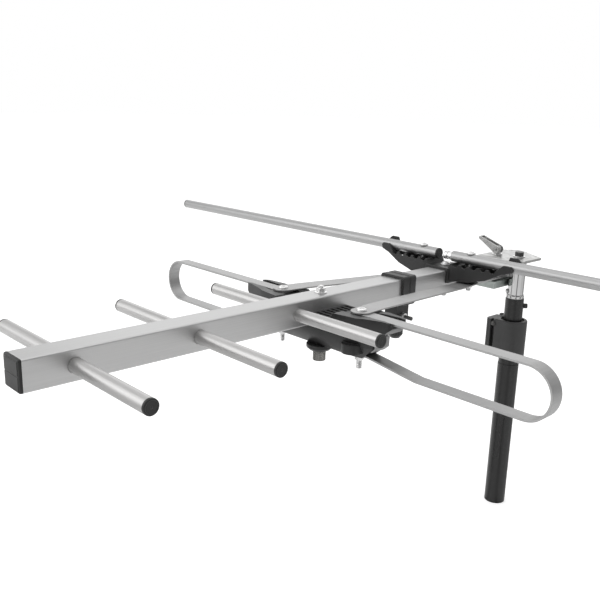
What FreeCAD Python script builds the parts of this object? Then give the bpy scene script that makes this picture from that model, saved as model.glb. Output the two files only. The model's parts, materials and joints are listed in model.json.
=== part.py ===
"""VHF/UHF antenna on its mast head, in millimetres, +Z up.

The origin is the centre of the foot of the mast. The boom runs along Y, with its front end
towards -Y and its rear end beside the mast. The rods and the dipoles run along X. A station is a
distance along the boom, counted from the front end of its tube.
"""
import FreeCAD, Part
import os
import re

import Sketcher

SIZES = {
    # Boom
    "boom_side": 25.0,
    "boom_wall": 1.5,
    "boom_corner": 1.6,
    "boom_length": 640.0,
    "mast_setback": 35.0,
    "boom_height": 305.0,
    "cap_flange": 3.0,
    "cap_depth": 12.0,
    "cap_spigot_wall": 2.0,
    "cap_seam_width": 0.8,
    "cap_seam_depth": 0.5,
    "cap_seam_inset": 1.6,
    "fit_gap": 0.15,
    # Rods
    "rod_diameter": 12.0,
    "rod_wall": 1.0,
    "rod_cap_face": 2.4,
    "rod_cap_depth": 8.0,
    "rod_cap_edge": 0.7,
    "director_length": 225.0,
    "director_station": 39.0,
    "director_pitch": 109.0,
    # VHF dipole and its tray
    "vhf_setback": 146.0,
    "vhf_lift": 26.5,
    "vhf_reach": 502.0,
    "vhf_gap": 18.6,
    "vhf_bolt_offset": 32.0,
    "spigot_diameter": 9.4,
    "spigot_proud": 11.0,
    "spigot_insert": 12.0,
    "spigot_ease": 0.6,
    "tray_half": 88.0,
    "tray_width": 30.0,
    "tray_tip_width": 17.2,
    "tray_shoulder": 20.0,
    "tray_wall": 2.4,
    "tray_rim": 21.0,
    "tray_floor": 3.0,
    "tray_skirt": 0.8,
    "keel_low": 3.4,
    "keel_middle": 9.0,
    "room_low": 5.8,
    "room_high": 12.0,
    "tip_ease": 2.0,
    "horn_height": 35.0,
    "saddle_depth": 13.5,
    "saddle_length": 34.0,
    "saddle_ease": 1.5,
    "scallop_pitch": 11.0,
    "scallop_diameter": 8.0,
    "rib_thickness": 2.4,
    # Small fasteners
    "bolt_diameter": 5.0,
    "bolt_head": 9.6,
    "bolt_head_height": 2.8,
    "nut_across": 8.0,
    "nut_height": 4.0,
    "washer_diameter": 12.0,
    "washer_thickness": 1.0,
    "bolt_proud": 4.0,
    "terminal_proud": 8.5,
    "terminal_washer": 11.0,
    # UHF dipole
    "dipole_station": 297.0,
    "strip_width": 14.0,
    "strip_thickness": 2.0,
    "loop_half": 248.0,
    "loop_top": 5.0,
    "loop_height": 46.0,
    "loop_tail": 7.0,
    "waist_half": 68.0,
    "ramp_half": 122.0,
    "terminal_offset": 53.0,
    "strap_width": 20.0,
    "strap_thickness": 1.5,
    "strap_flat": 24.0,
    # Dipole housing
    "housing_half": 97.0,
    "housing_width": 46.0,
    "housing_rim": 5.5,
    "housing_wall": 2.2,
    "wing_width": 24.0,
    "platform_half": 35.0,
    "platform_drop": 0.5,
    "groove_width": 3.2,
    "groove_depth": 1.6,
    "groove_pitch": 6.2,
    "wing_rise": 7.0,
    "wing_ease": 8.0,
    "wing_root": 24.0,
    "rim_start": 33.0,
    "seam_drop": 14.0,
    "cover_setback": 19.0,
    "cover_depth": 35.0,
    "cover_skin": 1.2,
    "cover_knee": 8.0,
    "cover_knee_width": 40.0,
    "cover_keel": 20.0,
    "cover_rake": 15.0,
    "cover_shoulder": 43.0,
    "cover_bow": 0.8,
    "end_rise": 1.7,
    "end_tuck": 5.0,
    "end_thickness": 2.0,
    "ear_x": 57.0,
    "ear_y": 15.0,
    "ear_radius": 10.0,
    "ear_drop": 6.0,
    "ear_height": 9.0,
    "post_diameter": 11.6,
    "post_drop": 12.0,
    "board_length": 84.0,
    "board_width": 22.0,
    "board_thickness": 1.6,
    "board_drop": 6.5,
    "core_length": 14.0,
    "core_height": 7.0,
    "core_x": 27.0,
    "core_bore": 3.2,
    "collar_diameter": 25.6,
    "collar_foot": 19.6,
    "collar_height": 6.2,
    "collar_straight": 3.4,
    "socket_diameter": 12.4,
    "socket_length": 10.6,
    "socket_neck": 9.0,
    "socket_bore": 4.8,
    "socket_ease": 0.7,
    "pin_depth": 3.0,
    "socket_x": 6.0,
    "socket_y": 5.0,
    # Boom clip
    "clip_setback": 228.0,
    "clip_length": 20.0,
    "clip_wall": 3.0,
    "clip_drop": 36.0,
    "clip_waist": 3.0,
    "clip_waist_depth": 0.9,
    "clip_lug": 16.0,
    "clip_lug_ease": 4.0,
    "clip_screw_drop": 29.0,
    "clip_screw_diameter": 4.0,
    "knob_diameter": 16.0,
    "knob_height": 18.0,
    "knob_ease": 3.0,
    "knob_neck": 3.6,
    "flute_diameter": 2.6,
    "flute_offset": 0.7,
    "screw_tail": 21.0,
    "screw_seat": 10.6,
    "screw_head": 3.4,
    "screw_head_diameter": 8.0,
    "barrel_start": 8.0,
    "barrel_length": 4.0,
    # Mast head
    "head_setback": 43.0,
    "plate_thickness": 3.0,
    "plate_front": 24.0,
    "plate_rear": 46.0,
    "plate_beyond": 20.0,
    "saddle_wall": 3.0,
    "skirt_depth": 9.0,
    "skirt_front": 25.0,
    "skirt_rear": 30.0,
    "head_bolt_diameter": 6.0,
    "cam_diameter": 10.0,
    "cam_pin_diameter": 3.0,
    "lever_length": 27.0,
    "lever_width": 10.0,
    "lever_wall": 1.6,
    "lever_angle": 20.0,
    "lever_tip": 4.6,
    "lever_tip_foot": 1.2,
    "lever_bend": 6.0,
    "lever_throat": 8.0,
    "pin_proud": 0.8,
    "pin_ease": 0.4,
    "mast_bolt_across": 10.0,
    "mast_bolt_height": 5.0,
    "plate_ease": 10.0,
    "plate_lip": 2.0,
    "pressing_radius": 0.5,
    "saddle_corner": 6.0,
    "eye_thickness": 4.0,
    "stud_x": -5.5,
    "stud_y": 12.5,
    "stud_diameter": 3.0,
    "stud_head": 5.2,
    "stud_proud": 5.0,
    # Mast
    "stub_diameter": 19.0,
    "stub_wall": 1.5,
    "stub_exposed": 47.5,
    "stub_insert": 32.0,
    "plug_length": 22.0,
    "ring_height": 4.4,
    "ring_wall": 0.9,
    "pin_angle": 46.0,
    "button_drop": 8.0,
    "button_radius": 3.0,
    "button_proud": 2.4,
    "button_flange": 0.8,
    "screw_drop": 10.0,
    "thumb_radius": 3.0,
    "thumb_proud": 4.6,
    "thumb_neck": 2.0,
    "upper_diameter": 22.0,
    "upper_length": 190.0,
    "slide_gap": 0.3,
    "lower_diameter": 25.4,
    "seat_turning": 0.5,
    "seat_below": 8.0,
    "seat_groove": 0.8,
    "seat_groove_width": 2.0,
    # Flip-lock clamp
    "clamp_drop": 75.0,
    "clamp_seat": 31.0,
    "clamp_height": 48.0,
    "clamp_radius": 17.5,
    "clamp_ear": 19.0,
    "clamp_half": 17.5,
    "clamp_corner": 5.0,
    "clamp_foot_ease": 2.5,
    "clamp_top_ease": 1.0,
    "clamp_slot": 2.4,
    "clamp_lever_thickness": 8.0,
    "clamp_pin_diameter": 3.0,
    "knuckle_radius": 3.3,
    "lug_height": 8.0,
    "mouth_width": 5.0,
    "mouth_depth": 2.4,
    "finger_width": 4.6,
    "finger_depth": 4.0,
    "clamp_screw_diameter": 3.0,
    "clamp_screw_head": 6.0,
    "clamp_screw_inset": 3.6,
}

# Sizes that follow from others. The rear group is set back from the boom's rear end, the clamp hangs
# below the upper tube's top, and the cover's ends stay inside the housing's.
FOLLOWING = {
    "boom_reach": "(boom_length - mast_setback)",
    "vhf_station": "(boom_length - vhf_setback)",
    "clip_station": "(boom_length - clip_setback)",
    "head_station": "(boom_length - head_setback)",
    "clamp_base": "(boom_height + boom_side/2 - stub_exposed - clamp_drop)",
    "lower_length": "(clamp_base + clamp_seat)",
    "cover_half": "(housing_half - cover_setback)",
}

# Places that several pieces share, written in the sizes' names.
FRONT = "-boom_reach"
BOOM_X = "-(boom_side/2 + saddle_wall + stub_diameter/2 + 2*fit_gap)"
BOOM_Z = "boom_height"
UNDER = "-boom_side/2 - fit_gap"
STRAP_TOP_REAR = "strap_thickness - 0.3"
STUB_TOP = "boom_height + boom_side/2"
STUB_FOOT = "boom_height + boom_side/2 - stub_exposed"
CAM_Z = "boom_side/2 + plate_thickness + washer_thickness + cam_diameter/2 + fit_gap"

doc = FreeCAD.newDocument("antenna")
sheet = doc.addObject("Spreadsheet::Sheet", "sizes")
for row, (alias, size) in enumerate(SIZES.items(), 1):
    sheet.set(f"A{row}", str(size))
    sheet.setAlias(f"A{row}", alias)
doc.recompute()

NODES = []


def bound(formula):
    """Turns each size's name in a formula into a reference to the sheet."""

    def reference(match):
        word = match.group(0)
        if word in FOLLOWING:
            return bound(FOLLOWING[word])
        return "sizes." + word if word in SIZES else word

    return re.sub(r"[a-z_]+", reference, formula)


def number(formula):
    """The present value of a formula."""
    result = sheet.evalExpression(bound(formula))
    return float(getattr(result, "Value", result))


def node(piece, label):
    """Marks a finished sub-part, whose label names its file."""
    piece.Label = label
    NODES.append(piece)
    return piece


def put(piece, x="0", y="0", z="0", axis=(0, 0, 1), angle=0):
    """Places a piece, turned by an angle in degrees about an axis through its own origin."""
    turn = FreeCAD.Rotation(FreeCAD.Vector(*axis), angle)
    piece.Placement = FreeCAD.Placement(FreeCAD.Vector(), turn)
    for letter, formula in (("x", x), ("y", y), ("z", z)):
        piece.setExpression("Placement.Base." + letter, bound(formula))
    return piece


def on_boom(piece, station, x="0", z="0", axis=(0, 0, 1), angle=0):
    """Places a piece by its station along the boom, sideways and up from the boom's centre line."""
    return put(piece, f"{BOOM_X} + {x}", f"{FRONT} + {station}", f"{BOOM_Z} + {z}", axis, angle)


def new_body(name):
    return doc.addObject("PartDesign::Body", name)


def sketch(body, plane, offset="0"):
    """A sketch on one of the body's own origin planes, moved along the plane's normal."""
    drawing = body.newObject("Sketcher::SketchObject", body.Name + "_sketch")
    role = plane + "_Plane"
    support = next(item for item in body.Origin.OriginFeatures if item.Role == role)
    drawing.AttachmentSupport = [(support, "")]
    drawing.MapMode = "FlatFace"
    drawing.setExpression("AttachmentOffset.Base.z", bound(offset))
    return drawing


def fix(drawing, kind, geometry, point, formula):
    """Ties one coordinate of a sketch point to a formula."""
    index = drawing.addConstraint(Sketcher.Constraint(kind, -1, 1, geometry, point, number(formula)))
    drawing.setExpression(f"Constraints[{index}]", bound(formula))


def outline(drawing, corners):
    """A closed outline through corners given as pairs of formulas.

    A corner with two more entries, such as "x" and a formula, starts a half-round stretch to the
    next corner, and they give the centre's coordinate that the corners leave open. The fifth entry
    says whether that stretch runs anticlockwise.
    """
    first = drawing.GeometryCount
    count = len(corners)
    ends = []
    for index, corner in enumerate(corners):
        follower = corners[(index + 1) % count]
        start = FreeCAD.Vector(number(corner[0]), number(corner[1]), 0)
        end = FreeCAD.Vector(number(follower[0]), number(follower[1]), 0)
        if len(corner) == 2:
            drawing.addGeometry(Part.LineSegment(start, end), False)
            ends.append((1, 2))
            continue
        centre = (start + end) / 2
        if corner[2] == "x":
            centre.x = number(corner[3])
        else:
            centre.y = number(corner[3])
        circle = Part.Circle(centre, FreeCAD.Vector(0, 0, 1), (start - centre).Length)
        low, high = (start, end) if corner[4] else (end, start)
        arc = Part.ArcOfCircle(circle, circle.parameter(low), circle.parameter(high))
        drawing.addGeometry(arc, False)
        ends.append((1, 2) if corner[4] else (2, 1))
    for index, corner in enumerate(corners):
        follower = (index + 1) % count
        drawing.addConstraint(
            Sketcher.Constraint("Coincident", first + index, ends[index][1], first + follower, ends[follower][0])
        )
        fix(drawing, "DistanceX", first + index, ends[index][0], corner[0])
        fix(drawing, "DistanceY", first + index, ends[index][0], corner[1])
        if len(corner) > 2:
            fix(drawing, "Distance" + corner[2].upper(), first + index, 3, corner[3])


def mirrored(corners):
    """An outline's right half, from bottom to top, completed by its mirror image across x = 0."""
    return corners + [("-(" + x + ")", y) for x, y in reversed(corners)]


def box_outline(drawing, left, low, right, high):
    outline(drawing, [(left, low), (right, low), (right, high), (left, high)])


def round_hole(drawing, x, y, diameter):
    circle = Part.Circle(FreeCAD.Vector(number(x), number(y), 0), FreeCAD.Vector(0, 0, 1), number(diameter) / 2)
    index = drawing.addGeometry(circle, False)
    fix(drawing, "DistanceX", index, 3, x)
    fix(drawing, "DistanceY", index, 3, y)
    limit = drawing.addConstraint(Sketcher.Constraint("Diameter", index, number(diameter)))
    drawing.setExpression(f"Constraints[{limit}]", bound(diameter))


def pad(body, drawing, length, centred=False, back=False):
    feature = body.newObject("PartDesign::Pad", body.Name + "_pad")
    feature.Profile = drawing
    feature.setExpression("Length", bound(length))
    feature.Midplane = centred
    feature.Reversed = back
    return feature


def pocket(body, drawing, length=None, centred=False, back=False):
    """Cuts a drawing out of the body: through all of it, or to a length."""
    feature = body.newObject("PartDesign::Pocket", body.Name + "_pocket")
    feature.Profile = drawing
    if length is None:
        feature.Type = "ThroughAll"
    else:
        feature.setExpression("Length", bound(length))
    feature.Midplane = centred
    feature.Reversed = back
    return feature


def pattern(body, feature, plane_axis, pitch, copies):
    """Repeats a feature along an axis of the body's origin."""
    repeat = body.newObject("PartDesign::LinearPattern", body.Name + "_pattern")
    direction = next(item for item in body.Origin.OriginFeatures if item.Role == plane_axis)
    repeat.Originals = [feature]
    repeat.Direction = (direction, [""])
    repeat.setExpression("Length", bound(f"({pitch})*{copies - 1}"))
    repeat.Occurrences = copies
    body.Tip = repeat
    return repeat


def mirror(body, features, plane):
    """Repeats features on the other side of a plane of the body's origin."""
    repeat = body.newObject("PartDesign::Mirrored", body.Name + "_mirror")
    support = next(item for item in body.Origin.OriginFeatures if item.Role == plane + "_Plane")
    repeat.Originals = features
    repeat.MirrorPlane = (support, [""])
    body.Tip = repeat
    return repeat


def turned(name, profile, axis="V_Axis"):
    """A body turned from a half profile: (radius, height) about Z, or (distance, radius) about X."""
    body = new_body(name)
    drawing = sketch(body, "XZ")
    outline(drawing, profile)
    feature = body.newObject("PartDesign::Revolution", name + "_turn")
    feature.Profile = drawing
    feature.ReferenceAxis = (drawing, [axis])
    feature.Angle = 360.0
    return body


def soften(body, radius, pick, kind="Fillet"):
    """Rounds or chamfers the edges that a test picks from the body's present shape."""
    doc.recompute()
    base = body.Tip
    names = [f"Edge{i}" for i, edge in enumerate(base.Shape.Edges, 1) if pick(edge)]
    feature = body.newObject("PartDesign::" + kind, body.Name + "_soft")
    feature.Base = (base, names)
    feature.setExpression("Radius" if kind == "Fillet" else "Size", bound(radius))
    return feature


def runs_along(edge, axis):
    """Whether an edge is straight and parallel to the axis with this number."""
    if edge.Curve.TypeId != "Part::GeomLine":
        return False
    way = edge.tangentAt(edge.FirstParameter)
    return abs(abs(way[axis]) - 1) < 1e-6


def rod_tube(name, length, at="0"):
    """A round tube along X, centred on its origin or starting at a distance from it."""
    body = new_body(name)
    drawing = sketch(body, "YZ", at)
    round_hole(drawing, "0", "0", "rod_diameter")
    round_hole(drawing, "0", "0", "rod_diameter - 2*rod_wall")
    pad(body, drawing, length, centred=at == "0")
    return body


def rod_cap(name):
    """A plug for a rod's end, flush with the rod, with its face towards +X."""
    inner = "rod_diameter/2 - rod_wall - fit_gap"
    return turned(
        name,
        [
            ("-rod_cap_depth", "0"),
            ("rod_cap_face", "0"),
            ("rod_cap_face", "rod_diameter/2 - rod_cap_edge"),
            ("rod_cap_face - rod_cap_edge", "rod_diameter/2"),
            ("0", "rod_diameter/2"),
            ("0", inner),
            ("-rod_cap_depth", inner),
        ],
        "H_Axis",
    )


def bolt(name, length, diameter="bolt_diameter", head="bolt_head", height="bolt_head_height"):
    """A pan-headed bolt: origin under the head, shank down."""
    return turned(
        name,
        [
            ("0", f"-({length})"),
            (f"{diameter}/2", f"-({length})"),
            (f"{diameter}/2", "0"),
            (f"{head}/2", "0"),
            (f"{head}/2", f"{height}*0.4"),
            (f"{head}*0.3", height),
            ("0", height),
        ],
    )


def ring(name, inner, outer, thickness):
    """A flat ring standing on its origin, such as a washer."""
    body = new_body(name)
    drawing = sketch(body, "XY")
    round_hole(drawing, "0", "0", outer)
    round_hole(drawing, "0", "0", inner)
    pad(body, drawing, thickness)
    return body


def nut(name, bore, across, height):
    """A hexagon nut standing on its origin."""
    block = doc.addObject("Part::Prism", name + "_block")
    block.Polygon = 6
    block.setExpression("Circumradius", bound(f"({across})/1.7320508"))
    block.setExpression("Height", bound(height))
    hole = doc.addObject("Part::Cylinder", name + "_hole")
    hole.setExpression("Radius", bound(f"({bore})/2"))
    hole.setExpression("Height", bound(height))
    whole = doc.addObject("Part::Cut", name)
    whole.Base = block
    whole.Tool = hole
    return whole


def group(label, pieces):
    """Identical fasteners as one sub-part of separate solids."""
    whole = doc.addObject("Part::Compound", label)
    whole.Links = pieces
    return node(whole, label)


HOLE = "bolt_diameter + 2*fit_gap"
STATIONS = [f"director_station + {i}*director_pitch" for i in range(3)]
TERMINALS = ("terminal_offset", "-terminal_offset")
GROOVE_COUNT = 7
FLUTE_COUNT = 14


# The boom: a square tube with a row of cross holes for the rods and three bolt holes.


def make_boom():
    body = new_body("boom_tube")
    outer = sketch(body, "XZ")
    box_outline(outer, "-boom_side/2", "-boom_side/2", "boom_side/2", "boom_side/2")
    pad(body, outer, "boom_length", back=True)
    soften(body, "boom_corner", lambda edge: runs_along(edge, 1))
    bore = sketch(body, "XZ")
    half = "(boom_side/2 - boom_wall)"
    box_outline(bore, "-" + half, "-" + half, half, half)
    pocket(body, bore)
    cross = sketch(body, "YZ")
    round_hole(cross, "director_station", "0", "rod_diameter + 2*fit_gap")
    first = pocket(body, cross, centred=True)
    pattern(body, first, "Y_Axis", "director_pitch", len(STATIONS))
    upright = sketch(body, "XY")
    round_hole(upright, "0", "dipole_station", HOLE)
    round_hole(upright, "0", "vhf_station", HOLE)
    round_hole(upright, "0", "head_station", "head_bolt_diameter + 2*fit_gap")
    pocket(body, upright, centred=True)
    on_boom(body, "0")
    node(body, "boom_tube")


def make_boom_cap(label, station, angle):
    """A black plug: flange with eased edges, a seam across its face and a ribbed spigot."""
    body = new_body(label)
    flange = sketch(body, "XZ")
    box_outline(flange, "-boom_side/2", "-boom_side/2", "boom_side/2", "boom_side/2")
    pad(body, flange, "cap_flange")
    soften(body, "boom_corner", lambda edge: runs_along(edge, 1))
    soften(body, "cap_flange*0.35", lambda edge: edge.BoundBox.YMax < -number("cap_flange") + 0.01, "Chamfer")
    seam = sketch(body, "XZ", "cap_flange")
    side = "(boom_side/2 - cap_seam_inset)"
    box_outline(seam, "-" + side, "-cap_seam_width/2", side, "cap_seam_width/2")
    pocket(body, seam, "cap_seam_depth")
    spigot = sketch(body, "XZ")
    half = "(boom_side/2 - boom_wall - fit_gap)"
    box_outline(spigot, "-" + half, "-" + half, half, half)
    bore = f"({half} - cap_spigot_wall)"
    box_outline(spigot, "-" + bore, "-" + bore, bore, bore)
    pad(body, spigot, "cap_depth", back=True)
    on_boom(body, station, angle=angle)
    node(body, label)


def make_directors():
    caps = []
    for index, station in enumerate(STATIONS, 1):
        rod = rod_tube(f"director_rod_{index}", "director_length - 2*rod_cap_face")
        node(on_boom(rod, station), f"director_rod_{index}")
        end = "director_length/2 - rod_cap_face"
        for side, x, angle in (("left", f"-({end})", 180), ("right", end, 0)):
            cap = rod_cap(f"director_cap_{index}_{side}")
            caps.append(on_boom(cap, station, x, angle=angle))
    group("director_caps", caps)


# The VHF dipole: two long rods bedded in a boat-shaped tray that straddles the boom.


def make_vhf_rods():
    hole = "vhf_bolt_offset"
    for side, start in (("left", "vhf_gap/2 + rod_cap_face"), ("right", "vhf_gap/2")):
        label = "vhf_rod_" + side
        rod = rod_tube(label, f"vhf_reach - rod_cap_face - ({start})", start)
        drawing = sketch(rod, "XY")
        round_hole(drawing, hole, "0", HOLE)
        pocket(rod, drawing, centred=True)
        node(on_boom(rod, "vhf_station", z="vhf_lift", angle=180 if side == "left" else 0), label)
    end = "vhf_reach - rod_cap_face"
    caps = []
    for side, x, angle in (
        ("left", f"-({end})", 180),
        ("right", end, 0),
        ("inner", "-(vhf_gap/2 + rod_cap_face)", 0),
    ):
        caps.append(on_boom(rod_cap("vhf_cap_" + side), "vhf_station", x, "vhf_lift", angle=angle))
    group("vhf_rod_caps", caps)
    spigot = turned(
        "vhf_spigot",
        [
            ("-spigot_proud", "0"),
            ("spigot_insert", "0"),
            ("spigot_insert", "rod_diameter/2 - rod_wall - fit_gap"),
            ("0", "rod_diameter/2 - rod_wall - fit_gap"),
            ("0", "spigot_diameter/2"),
            ("-spigot_proud + spigot_ease", "spigot_diameter/2"),
            ("-spigot_proud", "spigot_diameter/2 - spigot_ease"),
        ],
        "H_Axis",
    )
    node(on_boom(spigot, "vhf_station", "vhf_gap/2", "vhf_lift"), "vhf_spigot")


def tray_side(x):
    """Half the tray's outer width at a distance from the boom's centre line."""
    taper = "(tray_width - tray_tip_width)/2/(tray_half - tray_shoulder)"
    return f"(tray_width/2 - (({x}) - tray_shoulder)*{taper})"


def make_vhf_tray():
    body = new_body("vhf_tray")
    rest = "vhf_lift - rod_diameter/2 - fit_gap"
    skirt = "boom_side/2 + tray_wall + tray_skirt"
    skirt_foot = "boom_side/2 - saddle_depth"
    deck = "boom_side/2 + tray_floor"
    tip = "tray_half"
    keel = [
        (skirt, f"{STRAP_TOP_REAR} + 0.3"),
        (f"{tip}*0.44", "keel_low"),
        (f"{tip}*0.67", "keel_middle"),
        (f"{tip}*0.87", f"{rest} - tip_ease"),
        (tip, f"{rest} + 1.6"),
        (f"{tip} + 1.5", f"{rest} + 5.4"),
        (f"{tip} - 2", f"{rest} + 8"),
        (f"{tip} - 10", f"{rest} + 8"),
        (f"{tip} - 18", "tray_rim"),
        (skirt, "tray_rim"),
        ("boom_side/2 + 1", deck),
    ]
    hull = sketch(body, "XZ")
    outline(hull, mirrored(keel))
    pad(body, hull, "tray_width + 4", centred=True)
    trim = sketch(body, "XY", "-boom_side")
    frame = f"{tip} + 10"
    box_outline(trim, "-(" + frame + ")", "-tray_width", frame, "tray_width")
    edge = [
        ("tray_shoulder", f"-{tray_side('tray_shoulder')}"),
        (f"{tip} - tip_ease", f"-{tray_side(tip)}"),
        (f"{tip} + tip_ease", f"-{tray_side(tip)} + tip_ease"),
        (f"{tip} + tip_ease", f"{tray_side(tip)} - tip_ease"),
        (f"{tip} - tip_ease", tray_side(tip)),
        ("tray_shoulder", tray_side("tray_shoulder")),
    ]
    outline(trim, mirrored(edge))
    pocket(body, trim, "3*boom_side", back=True)
    ribs = ["tray_shoulder - 1.5", f"{tip}*0.56", f"{tip}*0.78"]
    rooms = []
    for index, floor in enumerate(("room_low", "room_high")):
        room = sketch(body, "XY", floor)
        low, high = f"{ribs[index]} + rib_thickness", ribs[index + 1]
        outline(
            room,
            [
                (low, f"-({tray_side(low)} - tray_wall)"),
                (high, f"-({tray_side(high)} - tray_wall)"),
                (high, f"{tray_side(high)} - tray_wall"),
                (low, f"{tray_side(low)} - tray_wall"),
            ],
        )
        rooms.append(pocket(body, room, "tray_half", back=True))
    mirror(body, rooms, "YZ")
    horn = sketch(body, "XZ", f"-({tray_side(tip)})")
    prow = [
        (f"{tip}*0.78", "tray_rim - 3"),
        (f"{tip}*0.95", f"{rest} + 0.6"),
        (f"{tip} + 4", f"{rest} + 5"),
        (f"{tip} + 4", f"{rest} + 9"),
        (f"{tip} - 3", "horn_height"),
        (f"{tip} - 12", "horn_height"),
    ]
    outline(horn, prow)
    horns = pad(body, horn, "tray_wall - fit_gap")
    mirror(body, [horns], "YZ")
    cheeks = sketch(body, "XZ")
    box_outline(cheeks, "-(" + skirt + ")", skirt_foot, skirt, deck)
    pad(body, cheeks, "saddle_length", centred=True)
    half_length = number("saddle_length") / 2
    soften(
        body,
        "saddle_ease",
        lambda edge: runs_along(edge, 2) and abs(abs(edge.CenterOfMass.y) - half_length) < 0.1,
    )
    boss = sketch(body, "XY", STRAP_TOP_REAR)
    round_hole(boss, "vhf_bolt_offset", "0", "post_diameter")
    round_hole(boss, "-vhf_bolt_offset", "0", "post_diameter")
    body.AllowCompound = True
    pad(body, boss, f"vhf_lift - 4 - ({STRAP_TOP_REAR})")
    scallop = sketch(body, "XZ")
    for index in (2, 3, 4, 5, 6):
        for sign in ("", "-"):
            x = f"{sign}{index}*scallop_pitch"
            round_hole(scallop, x, "tray_rim + scallop_diameter*0.1", "scallop_diameter")
    pocket(body, scallop, "tray_width + 2", centred=True)
    groove = sketch(body, "YZ")
    round_hole(groove, "0", "vhf_lift", "rod_diameter + 2*fit_gap")
    pocket(body, groove, "2*tray_half + 30", centred=True)
    straddle = sketch(body, "XZ")
    gap = "(boom_side/2 + fit_gap)"
    box_outline(straddle, "-" + gap, "-boom_side", gap, "boom_side/2")
    pocket(body, straddle, "saddle_length + 2", centred=True)
    holes = sketch(body, "XY")
    for x in ("0", "vhf_bolt_offset", "-vhf_bolt_offset"):
        round_hole(holes, x, "0", HOLE)
    pocket(body, holes, centred=True)
    on_boom(body, "vhf_station")
    node(body, "vhf_tray")


def make_vhf_fasteners():
    top = "vhf_lift + rod_diameter/2"
    foot = f"{STRAP_TOP_REAR} - strap_thickness"
    bolts = []
    nuts = []
    for side, x in (("left", "-vhf_bolt_offset"), ("right", "vhf_bolt_offset")):
        length = f"{top} - ({foot}) + nut_height + bolt_proud"
        bolts.append(on_boom(bolt("vhf_bolt_" + side, length), "vhf_station", x, top))
        piece = nut("vhf_nut_" + side, HOLE, "nut_across", "nut_height")
        nuts.append(on_boom(piece, "vhf_station", x, f"{foot} - nut_height"))
    group("vhf_rod_bolts", bolts)
    group("vhf_rod_nuts", nuts)
    deck = "boom_side/2 + tray_floor"
    washer = ring("vhf_tray_washer", HOLE, "washer_diameter", "washer_thickness")
    node(on_boom(washer, "vhf_station", z=deck), "vhf_tray_washer")
    length = "boom_side + tray_floor + washer_thickness + nut_height + bolt_proud"
    centre_bolt = bolt("vhf_tray_bolt", length)
    node(on_boom(centre_bolt, "vhf_station", z=f"{deck} + washer_thickness"), "vhf_tray_bolt")
    centre_nut = nut("vhf_tray_nut", HOLE, "nut_across", "nut_height")
    node(on_boom(centre_nut, "vhf_station", z="-boom_side/2 - nut_height"), "vhf_tray_nut")


# The UHF dipole: one flat strip, bent to a long loop, held at its waist by a two-part housing.


def make_folded_dipole():
    body = new_body("folded_dipole")
    drawing = sketch(body, "XZ")
    bend = "(loop_half - loop_height/2)"
    foot = "loop_top - loop_height"
    waist = "-cover_depth + cover_skin + strip_thickness"
    tail = "(terminal_offset - loop_tail)"
    inner = "strip_thickness"
    outline(
        drawing,
        [
            (tail, f"loop_top - {inner}"),
            (bend, f"loop_top - {inner}", "x", bend, False),
            (bend, f"{foot} + {inner}"),
            ("ramp_half", f"{foot} + {inner}"),
            ("waist_half", waist),
            ("-waist_half", waist),
            ("-ramp_half", f"{foot} + {inner}"),
            ("-" + bend, f"{foot} + {inner}", "x", "-" + bend, False),
            ("-" + bend, f"loop_top - {inner}"),
            ("-" + tail, f"loop_top - {inner}"),
            ("-" + tail, "loop_top"),
            ("-" + bend, "loop_top", "x", "-" + bend, True),
            ("-" + bend, foot),
            ("-ramp_half", foot),
            ("-waist_half", f"{waist} - {inner}"),
            ("waist_half", f"{waist} - {inner}"),
            ("ramp_half", foot),
            (bend, foot, "x", bend, True),
            (bend, "loop_top"),
            (tail, "loop_top"),
        ],
    )
    pad(body, drawing, "strip_width", centred=True)
    holes = sketch(body, "XY")
    for x in TERMINALS:
        round_hole(holes, x, "0", HOLE)
    pocket(body, holes, centred=True)
    on_boom(body, "dipole_station")
    node(body, "folded_dipole")


def leaf(width, half, shoulder, tip):
    """Plan of a part that is widest at the boom and narrows to blunt tips."""
    return [
        ("0", f"-{width}/2"),
        (shoulder, f"-{width}/2"),
        (f"({shoulder} + {half})/2", f"-({width} + {tip})/4 - 0.8"),
        (f"{half} - 3", f"-{tip}/2"),
        (half, f"-{tip}/2 + 3"),
        (half, f"{tip}/2 - 3"),
        (f"{half} - 3", f"{tip}/2"),
        (f"({shoulder} + {half})/2", f"({width} + {tip})/4 + 0.8"),
        (shoulder, f"{width}/2"),
        ("0", f"{width}/2"),
    ]


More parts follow.
